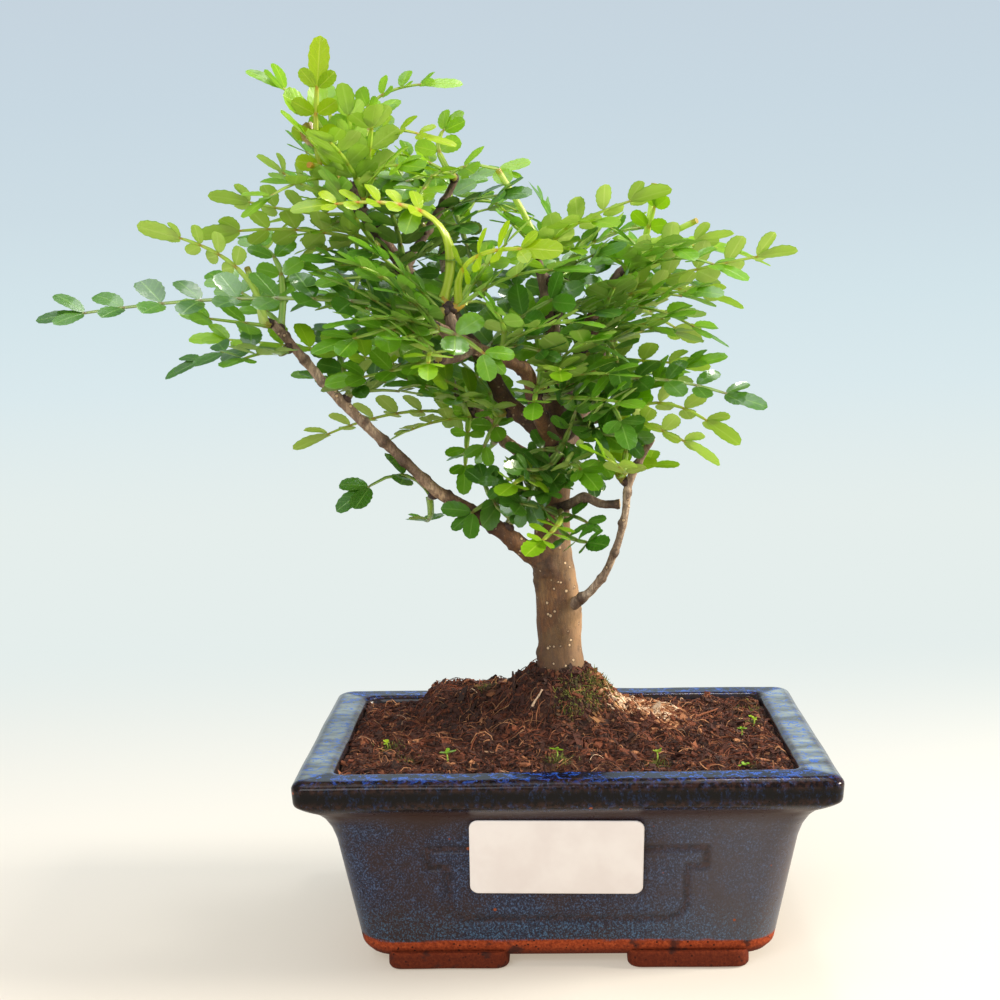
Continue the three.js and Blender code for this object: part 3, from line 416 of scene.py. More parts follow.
# Pot.
OUTER = [[3.2, 18.4, 9], [5.4, 16.3, 10.5], [11, 15.2, 11], [39, 10.4, 9], [43, 9.2, 8.5], [46.5, 7.4, 8],
         [49, 5.3, 7], [51, 2.4, 5], [52.8, 0.4, 4], [58.5, 0, 4], [60, 1.9, 4]]
INNER = [[60, 10.1, 4.5], [59.2, 11.1, 4.5], [52, 12.4, 5], [38, 16.1, 5.5], [8.5, 21.5, 6]]
RIM_HALF = np.array([76.5, 55.0])
WALL_LEAN = (OUTER[2][1] - OUTER[3][1]) / (OUTER[3][0] - OUTER[2][0])
CLAY_LINE = 8.3
GROOVE_DEPTH = 0.8
FOOT_HALF = np.array([17.5, 8.0])
FEET = [(x, POT_Y + y) for x in (-34.5, 34.5) for y in (-32, 32)]
FOOT_PROFILE = np.array([[0.0, 1.3], [0.25, 0.5], [0.9, 0.05], [1.6, 0], [3.2, 0], [5.0, 0.2]])
DRAINS = [(-26, POT_Y), (26, POT_Y)]
DRAIN_RADIUS = 4.5


def rounded_frame(half, radius, long_steps, short_steps, corner_steps):
    """Points round rectangles with rounded corners, from the corner at +x +y: arcs joined by straight sides.
    half holds the half sizes and radius the corner radii, one row for each ring."""
    half = np.asarray(half, float)
    radius = np.asarray(radius, float)[:, None]
    loops = []
    arcs = []
    for corner, (sign_x, sign_y) in enumerate([(1, 1), (-1, 1), (-1, -1), (1, -1)]):
        angle = (corner + np.linspace(0, 1, corner_steps + 1)) * np.pi / 2
        arcs.append(np.stack([sign_x * (half[:, :1] - radius) + radius * np.cos(angle),
                              sign_y * (half[:, 1:] - radius) + radius * np.sin(angle)], -1))
    for corner, arc in enumerate(arcs):
        steps = long_steps if corner % 2 == 0 else short_steps
        share = np.linspace(0, 1, steps + 1)[1:-1, None]
        start, end = arc[:, -1:], arcs[(corner + 1) % 4][:, :1]
        loops += [arc, start * (1 - share) + end * share]
    return np.concatenate(loops, 1)


def eased_profile(rows, step, reach):
    """Rows cut to equal steps, then each averaged with its neighbours within reach, so corners are rounded."""
    rows = np.asarray(rows, float)
    length = np.concatenate([[0], np.cumsum(np.hypot(*np.diff(rows[:, :2], axis=0).T))])
    at = np.linspace(0, length[-1], int(length[-1] / step) + 1)
    fine = np.stack([np.interp(at, length, column) for column in rows.T], 1)
    width = int(reach / step)
    padded = np.concatenate([[fine[0]] * width, fine, [fine[-1]] * width])
    kernel = np.hanning(2 * width + 3)[1:-1]
    return np.stack([np.convolve(c, kernel / kernel.sum(), "valid") for c in padded.T], 1)


def panel_line():
    """Middle line of the panel that is scratched into the long walls, as (x, height along the wall)."""
    rise = np.hypot(1, WALL_LEAN)
    inset = 1.1
    low, step, top = [(z - OUTER[2][0]) * rise for z in (14.2 + inset, 30.5 + inset, 38.4 - inset)]
    wide, narrow, radius = 40.5 - inset, 35 - inset, 7 - inset
    angle = np.linspace(-np.pi / 2, 0, 7)
    corner = np.stack([narrow - radius + radius * np.cos(angle), low + radius * (1 + np.sin(angle))], 1)
    half = np.concatenate([corner, [[narrow, step], [wide, step], [wide, top]]])
    return np.concatenate([half, half[::-1] * [-1, 1], half[:1]])


def distance_to_line(points, line):
    """Distance from flat points to the nearest place on a line of straight pieces."""
    start, way = line[:-1], np.diff(line, axis=0)
    offset = points[:, None] - start
    share = np.clip((offset * way).sum(-1) / (way * way).sum(-1), 0, 1)
    return np.linalg.norm(offset - share[..., None] * way, axis=-1).min(1)


def make_pot(finish):
    """The pot: rounded rectangles stacked along the profile, up the outside, over the rim and down inside.
    The tint holds how thin the glaze is, how much of the rim's top it is, and where the clay is bare."""
    profile = eased_profile(OUTER + INNER, 0.55, 1.1)
    ring = rounded_frame(RIM_HALF - profile[:, 1:2], profile[:, 2], 230, 150, 12)
    height = np.repeat(profile[:, 0][:, None], ring.shape[1], 1)
    points = np.concatenate([ring + [0, POT_Y], height[..., None]], -1)
    outside = np.arange(len(profile)) < len(profile) * 0.5
    wobble = 0.22 * rough(points * [1, 1, 0.5], 17, 1) * smooth(40, 55, height)
    ways = unit(points * [1, 1, 0] - [0, POT_Y, 0])
    points += ways * wobble[..., None]
    points[..., 2] += 0.16 * rough(points, 14, 2) * smooth(54, 60, height)
    on_wall = (outside[:, None] & (np.abs(ring[..., 0]) < 50) & (np.abs(ring[..., 1]) > 36)
               & (height > 10) & (height < 42))
    flat = np.stack([points[..., 0][on_wall], (height[on_wall] - OUTER[2][0]) * np.hypot(1, WALL_LEAN)], 1)
    nearness = distance_to_line(flat, panel_line())
    groove = np.zeros(height.shape)
    groove[on_wall] = (1 - smooth(0.4, 1.8, nearness)) * (0.8 + 0.2 * rough(points[on_wall], 11, 9))
    points[..., 1] -= np.sign(ring[..., 1]) * GROOVE_DEPTH * groove
    turn = np.zeros(len(profile))
    slope = unit(np.gradient(profile[:, :2], axis=0))
    turn[1:-1] = np.abs(np.cross(slope[:-2], slope[2:]))
    corner = np.clip(np.convolve(turn, np.ones(3) / 3, "same") * 3.2, 0, 1) * ((profile[:, 0] > 51.5) | ~outside)
    ragged = rough(points, 5, 3) * 0.5 + rough(points, 1.7, 4) * 0.5
    thin = np.maximum(np.repeat(corner[:, None], ring.shape[1], 1) * (0.75 + 0.5 * ragged), groove * 0.9)
    edge_of_clay = CLAY_LINE + 0.7 * rough(points, 16, 5) + 0.25 * rough(points, 4, 6)
    clay = (1 - smooth(-0.25, 0.25, height - edge_of_clay)) * outside[:, None]
    top = smooth(59.1, 59.7, height)
    tint = np.stack([np.clip(thin, 0, 1), top, clay, 1.0 - outside[:, None] * np.ones_like(top)], -1)
    skin = Skin()
    add_rings(skin, points, tint, sharp_ends=False)
    height, inset = FOOT_PROFILE[:, :1], FOOT_PROFILE[:, 1:]
    for x, y in FEET:
        foot = rounded_frame(FOOT_HALF - inset, 4 - inset[:, 0], 20, 8, 6) + [x, y]
        foot = np.concatenate([foot, np.repeat(height, foot.shape[1], 1)[..., None]], -1)
        foot[..., :2] += 0.18 * rough(foot, 7, 8)[..., None] * (foot[..., 2:] > 0)
        add_rings(skin, foot, (0, 0, 1, 0))
    pot = skin.build("pot_glazed", [finish], "pot", "glaze")
    for i, (x, y) in enumerate(DRAINS):
        rings, _ = tube(np.array([[x, y, 0.0], [x, y, 20.0]]), DRAIN_RADIUS, 32)
        bore = bpy.data.meshes.new("bore")
        bore.from_pydata(put_in_frame(closed(rings)).tolist(), [],
                         [[v for v in face if v >= 0] for face in ring_faces(2, 32).tolist()])
        cutter = link(bpy.data.objects.new(f"bore_{i}", bore))
        cut = pot.modifiers.new("drain", "BOOLEAN")
        cut.operation, cut.object, cut.solver = "DIFFERENCE", cutter, "EXACT"
        bpy.context.view_layer.update()
        cut_mesh = bpy.data.meshes.new_from_object(pot.evaluated_get(bpy.context.evaluated_depsgraph_get()))
        pot.modifiers.clear()
        pot.data = cut_mesh
        bpy.data.objects.remove(cutter)


def glaze_finish():
    """Dark blue glaze: near-black and brown where it is thin, blue flecks where it ran thick, dark blue mottles
    on the rim's top with a painted pale reflection on its short sides, a painted pale reflection on the right
    half of the front wall, and bare red clay near the table."""
    f = Finish("blue_glaze")
    thin, top, clay, inside = f.tint()
    x, y, z = f.places()
    x, y, z = x * 1000 - POT_MIDDLE_X, y * 1000 - POT_MIDDLE_Y, z * 1000
    cloud = f.noise(22, 4, 0.6)
    fleck = f.noise(0.5, 3, 0.8, stretch=(1, 1, 0.8)).between(0.48, 0.66)
    big_fleck = f.noise(2.4, 5, 0.75, stretch=(1, 1, 0.7), warp=1.0).between(0.50, 0.61)
    lip = z.between(50.4, 52.2)
    low = 1 - z.between(10, 24)
    under = z.between(44.0, 49.5) * (1 - lip)
    wall = f.coats(
        f.mix(cloud.between(0.38, 0.62), (46, 33, 32), (33, 32, 44)),
        (f.noise(0.9, 3, 0.7).between(0.5, 0.7) * 0.4, (72, 54, 56)),
        (fleck * 0.8 * cloud.between(0.28, 0.62), (80, 98, 130)),
        (fleck * low * 0.55, (66, 108, 132)),
        # Painted reflection: a pale grey laid over the right half of the front wall.
        (x.between(4, 58) * y.between(-20, -36) * 0.30, (112, 108, 110)),
        (under * 0.85, f.mix(fleck, (50, 30, 20), (66, 50, 46))))
    drip = (f.noise(1.5, 4, 0.75, stretch=(1, 1, 0.6)) + 0.10 * cloud).between(0.55, 0.68)
    drip = drip * (abs(z - 55.6).between(1.0, 3.4) * 0.6 + 0.12)
    lip_colour = f.coats((4, 2, 3), (drip * cloud.between(0.34, 0.54), (20, 46, 92)),
                         (fleck * drip * 0.7, (92, 138, 190)))
    wash = f.noise(7, 5, 0.65, stretch=(0.5, 1, 1), warp=0.6)
    # Painted reflection: the rim's short sides get a pale grey-blue sheen of the sky.
    short_side_reflection = (abs(x) - abs(y) - RIM_HALF[0] + RIM_HALF[1]).between(-4, 4) * (0.3 + wash)
    rim = f.coats(
        f.mix(wash.between(0.42, 0.60), (1, 1, 4), (4, 12, 34)),
        (big_fleck * 0.7, (14, 80, 190)), (fleck * big_fleck * 0.4, (110, 156, 220)),
        (short_side_reflection.between(0.45, 1.05) * 0.8, f.mix(big_fleck, (150, 162, 160), (62, 104, 170))))
    pit = f.cells(7.5).between(0.085, 0.06) * f.noise(30, 1).between(0.52, 0.56)
    grain = f.noise(0.8, 4, 0.7)
    clay_colour = f.coats(
        f.ramp(grain, (0.3, (98, 34, 12)), (0.55, (148, 60, 26)), (0.8, (178, 88, 44))),
        (f.cells(1.9).between(0.2, 0.12), (42, 18, 10)), (z.between(7.5, 3.5) * 0.75, (58, 17, 6)),
        (f.noise(8, 3, 0.6).between(0.56, 0.66) * 0.8, (44, 26, 22)))
    colour = f.coats(
        wall, (lip, lip_colour), (top, rim),
        (thin * 0.75, f.mix(f.noise(1.4).between(0.4, 0.6), (24, 14, 11), (58, 36, 27))),
        (pit * (1 - top), (138, 66, 34)), (inside * (1 - top) * 0.7, (40, 34, 34)), (clay, clay_colour))
    gloss = 0.24 - 0.14 * lip + 0.10 * f.noise(3, 2) + 0.12 * fleck * (1 - top)
    roughness = f.node("Mix", {"data_type": "FLOAT"}, {0: clay, 2: gloss, 3: 0.85})
    relief = f.bump(f.noise(2.4, 3, 0.5), 0.25, 0.10)
    relief = f.bump(grain, 0.6 * clay + 0.05, 0.12, relief)
    return f.done(f.solid(Base_Color=colour, Roughness=roughness, Normal=relief, Specular_IOR_Level=0.17))


# Wood. Rows of [x, y, z, radius]; the first row of a branch lies inside what bears it.
WOOD = {
    "trunk": [[-1, 10, 56, 10.2], [-0.8, 10, 63, 9.8], [-0.8, 10, 69.3, 8.9], [-0.7, 10, 77.6, 7.4],
              [-0.8, 10, 86.4, 6.8], [-1, 9.5, 96, 6.9], [-1.8, 9, 105.5, 6.4], [-2.6, 8.5, 115.5, 5.7],
              [-2.4, 8, 127.4, 5], [-1.4, 8, 136.6, 4.7], [0, 7, 145.9, 4.4], [-0.8, 7, 156.5, 3.9],
              [-2.1, 7, 168.6, 3.6], [-3.8, 7, 178.9, 3.7]],
    "left": [[-3, 8, 111.3, 4.2], [-10.6, 6, 115.4, 3.1], [-16.8, 4, 120.7, 2.5], [-24.6, 2, 126.6, 2.2],
             [-37.2, -1, 134.8, 1.8], [-44.7, -3, 142.4, 1.6], [-51.5, -5, 149.6, 1.6], [-59, -8, 157.3, 1.5],
             [-70.1, -12, 170.1, 1.4], [-77, -15, 179.3, 1.3], [-82.5, -17, 186.3, 1.2]],
    "front": [[-0.9, 6, 146, 3], [-4.5, -2, 153.6, 2.5], [-7.3, -9, 162.1, 2.2], [-10.5, -15, 171.8, 2.1],
              [-14.7, -18, 174, 2], [-24.3, -26, 178.4, 1.8], [-28.9, -30, 181.3, 1.7], [-34.9, -35, 184.8, 1.6]],
    "frontTwig": [[-28, -30, 180.5, 1.3], [-29.8, -31, 184.7, 1.4], [-30.5, -32, 188.9, 1.2]],
    "frontSpur": [[-24.6, -26, 178.1, 1.2], [-29, -30, 175.5, 1.1], [-33.3, -33, 174.8, 1.3]],
    "leader": [[-1.2, 8, 147.3, 3.2], [-9, 11, 154.2, 2.7], [-16.6, 13, 161.6, 2.4], [-22.8, 13, 173.3, 2.2],
               [-29.3, 12, 182.3, 2], [-37.2, 10, 191.8, 1.9], [-45.8, 7, 201.5, 1.8], [-51.4, 5, 209, 1.9],
               [-57.2, 3, 218.1, 1.7], [-61.9, 2, 226.9, 1.4]],
    "crown": [[-45.8, 7, 201.5, 1.4], [-40, 9, 211, 1.3], [-34.1, 10, 220.4, 1.2], [-30.3, 10, 227.4, 1]],
    "leaderBack": [[-29.3, 12, 182.3, 1.6], [-33, 26, 191.1, 1.4], [-35.5, 40, 199.5, 1.3],
                   [-37.3, 50, 206.5, 1.1]],
    "grey": [[-1.4, 9, 137.1, 2.6], [-9.3, 14, 142.9, 2.1], [-15.8, 18, 147, 1.8], [-23, 25, 153.8, 1.7],
             [-31.1, 32, 160.7, 1.5], [-38, 38, 170.8, 1.4], [-45.3, 44, 181.7, 1.2]],
    "right": [[-1.1, 8, 158, 2.9], [2.7, 10, 165.4, 2.7], [6.8, 12, 174.3, 2.7], [10.3, 13, 182.5, 2.5],
              [12.8, 14, 190, 2], [19.1, 16, 198.3, 1.7], [25.4, 18, 205.2, 1.2]],
    "rightLow": [[0, 6, 149, 1.8], [6.6, 1, 154.1, 1.5], [13.1, -3, 157, 1.3]],
    "back": [[-0.7, 9, 142, 2.4], [4.6, 24, 149.9, 2], [10.1, 38, 159.7, 1.7], [14.5, 50, 170.7, 1.4],
             [17.5, 58, 179.3, 1.1]],
    "upper": [[-2.7, 7, 171.7, 2.4], [-2.8, 5, 183.7, 1.9], [-4.1, 2, 195.6, 1.6], [-6.3, 0, 204.1, 1.2]],
    "upperBack": [[-2.7, 8, 173.1, 1.8], [-0.6, 22, 184.4, 1.5], [2.8, 36, 194.3, 1.3], [5, 46, 202, 1]],
    "thin": [[2.3, 6, 97.8, 1.6], [6.9, 2, 101.6, 1.3], [12.6, -2, 108.7, 1.2], [16.5, -5, 118.2, 1.1],
             [19.1, -7, 129, 1.1], [19.8, -8, 136.2, 1.2], [23.2, -10, 144.1, 1.1], [26.7, -12, 150.4, 1]],
    "stub": [[-2.7, 5, 127.1, 1.7], [3.9, -2, 131, 1.4], [6.5, -4, 132.7, 1.3], [12.1, -5, 130.6, 1.2],
             [17.4, -6, 130.7, 1.2]],
}

# Leafy sprays: the bud's place on the wood, then the leaves as [middle x, y, z, tip x, y, z, lean of the
# upper face toward the front in degrees, bare share of the rib, tone from dark to young].
SPRAYS = {
    "left_tip": [[-83, -17, 187], [-94, -20, 204, -119, -24, 213, -40, 0.42, 2],
                 [-93, -30, 187, -105, -38, 189, 34, 0.2, 1]],
    "left_tip_back": [[-81, -14, 184], [-92, 4, 193, -109, 22, 202, 28, 0.2, 1],
                      [-83, -2, 204, -97, 14, 210, 32, 0.35, 1]],
    "left_knob": [[-77, -14, 180], [-97, -8, 178, -118, -2, 170, 30, 0.25, 0],
                  [-82, -38, 178, -89, -60, 175, 36, 0.2, 1]],
    "left_mid": [[-63, -9, 163], [-59, -22, 168, -54, -36, 165, 60, 0.25, 0],
                 [-69, 6, 168, -83, 22, 170, 24, 0.2, 1]],
    "left_low": [[-38, -1, 133], [-50, -4, 140, -66, -8, 129, 28, 0.3, 0],
                 [-41, 14, 124, -47, 34, 124, 24, 0.3, 1]],
    "left_root": [[-16, 5, 122], [-22, 2, 131, -34, -2, 123, 32, 0.2, 0],
                  [-24, 0, 132, -28, 10, 137, 44, 0.3, 0]],
    "twig_long": [[-31, -33, 190], [-83, -46, 193, -138, -58, 188, 29, 0.12, 1],
                  [-47, -46, 184, -66, -56, 179, 40, 0.2, 1]],
    "twig_young": [[-30, -34, 191], [-36, -36, 215, -72, -44, 216, 34, 0.48, 3]],
    "twig_bright": [[-28, -33, 190], [-22, -44, 203, 1, -58, 203, 58, 0.25, 3],
                    [-19, -24, 202, -4, -18, 199, 48, 0.25, 2]],
    "front_end": [[-35, -36, 185], [-40, -50, 182, -44, -68, 182, 62, 0.2, 1],
                  [-39, -52, 192, -48, -64, 194, 40, 0.2, 0]],
    "front_spur": [[-34, -35, 175], [-44, -34, 173, -65, -38, 169, 38, 0.15, 1],
                   [-35, -50, 178, -34, -66, 173, 62, 0.2, 2]],
    "front_knob": [[-18, -21, 177], [-11, -24, 186, 7, -30, 195, 62, 0.3, 0],
                   [-16, -38, 186, -22, -52, 193, 52, 0.25, 1]],
    "front_low": [[-6, -14, 165], [-9, -20, 180, -16, -26, 191, 56, 0.3, 1],
                  [-1, -26, 172, 0, -48, 169, 62, 0.3, 2]],
    "mid_right": [[-4, -9, 164], [26, -14, 168, 59, -20, 159, 35, 0.12, 0],
                  [11, -26, 163, 21, -46, 162, 48, 0.2, 1]],
    "leader_long": [[-14, 8, 158], [-47, -4, 173, -109, -14, 182, 28, 0.1, 2],
                    [-25, 24, 167, -38, 40, 177, 28, 0.2, 1]],
    "grey_spur": [[-28, 27, 155], [-54, 28, 156, -85, 30, 145, -30, 0.1, 2],
                  [-43, 20, 153, -53, 14, 148, -24, 0.15, 2]],
    "grey_low": [[-19, 21, 150], [-29, 30, 159, -48, 44, 165, 24, 0.25, 1],
                 [-24, 30, 144, -34, 46, 141, 24, 0.3, 1]],
    "trunk_dark": [[0, 0, 146], [3, -10, 156, 6, -14, 169, 68, 0.15, 0],
                   [-6, -12, 142, -16, -24, 145, 62, 0.2, 0]],
    "trunk_front": [[-2, 2, 135], [-6, -16, 140, -8, -38, 136, 66, 0.3, 1],
                    [4, -14, 142, 10, -26, 132, 60, 0.2, 1]],
    "trunk_low": [[1, 0, 126], [2, -12, 122, 13, -34, 123, 62, 0.3, 0],
                  [-2, -16, 125, -11, -36, 120, 56, 0.3, 2]],
    "trunk_left": [[-7, 6, 133], [-15, 2, 138, -23, -2, 131, 56, 0.2, 0]],
    "thin_knob": [[19, -9, 137], [17, -20, 143, 5, -32, 151, 32, 0.2, 2],
                  [21, -2, 142, 33, 8, 140, 28, 0.2, 2]],
    "right_low_end": [[14, -4, 158], [32, -4, 160, 53, -2, 147, -38, 0.15, 2],
                      [25, -14, 155, 46, -22, 144, -40, 0.15, 2]],
    "right_low_mid": [[7, -2, 154], [11, -14, 150, 20, -24, 147, 62, 0.25, 0],
                      [14, -24, 163, 18, -44, 153, 62, 0.2, 0]],
    "right_first": [[7, 8, 175], [21, 4, 173, 45, -2, 171, -32, 0.2, 2],
                    [15, -8, 178, 17, -28, 165, 62, 0.3, 0]],
    "right_second": [[11, 11, 184], [20, 6, 184, 35, 0, 180, -24, 0.25, 1],
                     [12, -12, 182, 25, -28, 186, 62, 0.25, 0]],
    "right_third": [[14, 12, 191], [32, 10, 194, 56, 8, 188, -31, 0.15, 2],
                    [26, 34, 188, 47, 52, 176, -28, 0.2, 2]],
    "right_fourth": [[17, 13, 195], [40, 14, 199, 73, 16, 205, -39, 0.08, 2],
                     [29, 36, 194, 54, 56, 195, -26, 0.15, 1]],
    "right_fifth": [[20, 14, 199], [31, 12, 205, 53, 8, 210, -38, 0.15, 2]],
    "right_end": [[26, 17, 206], [29, 16, 216, 32, 12, 225, 48, 0.3, 2],
                  [39, 34, 207, 56, 54, 206, 24, 0.2, 1]],
    "upper_end": [[-6, -2, 205], [8, -8, 214, 33, -12, 222, -33, 0.12, 2],
                  [-11, -16, 211, -16, -30, 215, 44, 0.2, 1]],
    "upper_mid": [[-4, 0, 196], [6, -12, 202, 20, -22, 206, 56, 0.2, 0], [5, 16, 194, 22, 34, 203, 28, 0.2, 1]],
    "upper_low": [[-3, 2, 184], [5, -14, 188, 17, -34, 187, 56, 0.2, 0],
                  [-8, 18, 191, -19, 36, 202, 28, 0.2, 0]],
    "crown_end": [[-30, 8, 228], [-23, 2, 231, -13, -6, 226, 36, 0.15, 2],
                  [-35, 12, 240, -26, 14, 246, 40, 0.3, 2]],
    "crown_third": [[-34, 8, 221], [-22, -6, 219, -3, -18, 218, 40, 0.2, 0],
                    [-31, 26, 226, -18, 44, 234, 28, 0.25, 1]],
    "crown_second": [[-39, 7, 212], [-30, -10, 214, -19, -26, 210, 52, 0.2, 0],
                     [-45, 26, 221, -40, 44, 236, 28, 0.2, 1]],
    "crown_first": [[-45, 4, 203], [-51, -12, 206, -58, -28, 203, 46, 0.2, 0],
                    [-37, -16, 203, -29, -34, 198, 52, 0.2, 0]],
    "apex": [[-63, 1, 228], [-70, -2, 237, -67, -6, 268, 72, 0.12, 3], [-75, 2, 248, -94, 2, 256, 40, 0.25, 2]],
    "apex_left": [[-62, 2, 223], [-76, 4, 227, -89, 6, 236, -36, 0.2, 2],
                  [-71, -12, 235, -84, -22, 243, 36, 0.3, 2]],
    "apex_right": [[-59, 4, 226], [-54, 4, 250, -27, 2, 254, 30, 0.38, 2],
                   [-57, 16, 243, -48, 32, 253, 32, 0.3, 2]],
    "leader_fourth": [[-58, 1, 221], [-50, -4, 240, -29, -12, 234, 32, 0.28, 3],
                      [-49, -16, 231, -36, -30, 229, 48, 0.25, 2]],
    "leader_third": [[-59, 3, 218], [-79, 2, 219, -103, 2, 225, -36, 0.15, 2],
                     [-73, 22, 226, -91, 42, 233, -24, 0.2, 1]],
    "leader_second": [[-51, 2, 210], [-78, -6, 213, -104, -14, 211, -38, 0.12, 2],
                      [-60, -24, 213, -64, -42, 218, 44, 0.2, 1]],
    "leader_first": [[-46, 4, 201], [-59, -10, 203, -73, -24, 203, 34, 0.15, 0],
                     [-58, 22, 199, -78, 40, 202, 24, 0.2, 0]],
    "leader_low": [[-38, 7, 191], [-52, 20, 192, -72, 34, 193, 24, 0.2, 0],
                   [-46, -8, 186, -59, -18, 181, 35, 0.2, 0]],
    "leader_base": [[-22, 10, 173], [-36, 4, 176, -52, 2, 177, 30, 0.2, 0],
                    [-18, 28, 182, -12, 44, 195, 28, 0.2, 1]],
    "grey_end": [[-45, 45, 181], [-62, 56, 182, -87, 66, 179, 24, 0.15, 1],
                 [-45, 58, 192, -43, 70, 202, 24, 0.3, 1]],
    "grey_mid": [[-37, 37, 170], [-48, 46, 169, -66, 56, 160, 24, 0.2, 1],
                 [-35, 52, 177, -43, 66, 182, -28, 0.3, 1]],
    "back_left_end": [[-37, 50, 206], [-48, 60, 217, -68, 70, 219, -24, 0.15, 1],
                      [-28, 60, 220, -12, 70, 222, -24, 0.15, 1]],
    "back_left_mid": [[-35, 37, 197], [-48, 50, 200, -69, 64, 198, -24, 0.2, 0],
                      [-22, 48, 200, -5, 62, 201, -24, 0.2, 0]],
    "back_right_end": [[18, 58, 180], [31, 66, 187, 51, 74, 184, -26, 0.15, 1],
                       [11, 68, 194, 5, 78, 206, -28, 0.2, 1]],
    "back_right_mid": [[12, 44, 166], [27, 54, 167, 45, 66, 162, -26, 0.2, 1],
                       [4, 58, 171, -9, 72, 176, -26, 0.25, 0]],
    "back_right_low": [[6, 28, 152], [17, 42, 149, 31, 58, 144, -24, 0.25, 0],
                       [-1, 46, 152, -13, 62, 158, -24, 0.25, 0]],
    "back_top_end": [[5, 46, 203], [18, 56, 212, 35, 66, 216, -26, 0.15, 1],
                     [-2, 58, 219, -8, 68, 231, -30, 0.2, 1]],
    "back_top_mid": [[1, 30, 189], [15, 42, 191, 31, 56, 191, -24, 0.2, 0],
                     [-12, 44, 191, -26, 60, 188, -24, 0.2, 0]],
}
# Green shoots that were cut short: their ends, by the spray whose bud they start at.
CUT_SHOOTS = {
    "left_tip": [[-90, -12, 202]],
    "apex": [[-71, -12, 231]],
    "upper_end": [[-17, -6, 229]],
    "right_end": [[42, 10, 214], [30, 20, 226]],
}
SEGMENTS = [np.concatenate([np.array(rows, float)[part] for rows in WOOD.values()])
            for part in (slice(None, -1), slice(1, None))]
CUT_ENDS = ("trunk", "front", "thin", "stub", "right")
# How dark each branch's bark is: its own dark scabby bark, and for the crown and leader branches deep in the
# foliage, painted shade.
DARK_AND_SHADED_WOOD = {"stub": 0.75, "frontSpur": 0.6, "front": 0.12, "frontTwig": 0.4, "leader": 0.75, "crown": 0.8,
             "grey": 0.2, "upper": 0.7, "right": 0.6, "rightLow": 0.6, "back": 0.6, "left": 0.06, "thin": 0.05}
ROOTS = [0.4, 1.5, 2.6, 3.9, 4.9]
SCARS = [([-5.1, 3.0, 110.6], 2.6, 0.9), ([-8.6, 7.0, 82.8], 2.4, 1.3), ([-8.0, 6.0, 104.5], 2.2, 0.5),
         ([6.4, 4.0, 96.5], 3.2, 1.5), ([-5.5, 6.5, 111.0], 5.5, 1.2), ([0.5, 4.0, 127.0], 3.0, 0.8)]


def nearest_wood(point):
    """Middle, radius and way of the branch at its place nearest to a point."""
    start, end = SEGMENTS
    way = (end - start)[:, :3]
    share = np.clip(dot(point - start[:, :3], way) / dot(way, way), 0, 1)
    middle = start[:, :3] + share * way
    radius = start[:, 3] * (1 - share[:, 0]) + end[:, 3] * share[:, 0]
    best = np.argmin(np.linalg.norm(middle - point, axis=1) - radius)
    return middle[best], radius[best], unit(way[best])


def knob(middle, axis, size, seed):
    """Rings of a rough knob: radius size times a sine, height size times a cosine, along its axis."""
    rise = -np.cos(np.linspace(0.25, np.pi - 0.25, 7))
    path = middle + axis * (rise * size)[:, None]
    rings, ways = tube(path, 1, 10)
    rings = path[:, None] + ways * (size * np.sqrt(1 - rise**2))[:, None, None]
    away = unit(rings - middle)
    bumps = 0.22 * size * rough(rings, 0.55 * size, seed) + 0.10 * size * rough(rings, 0.3, seed)
    return rings + away * bumps[..., None]


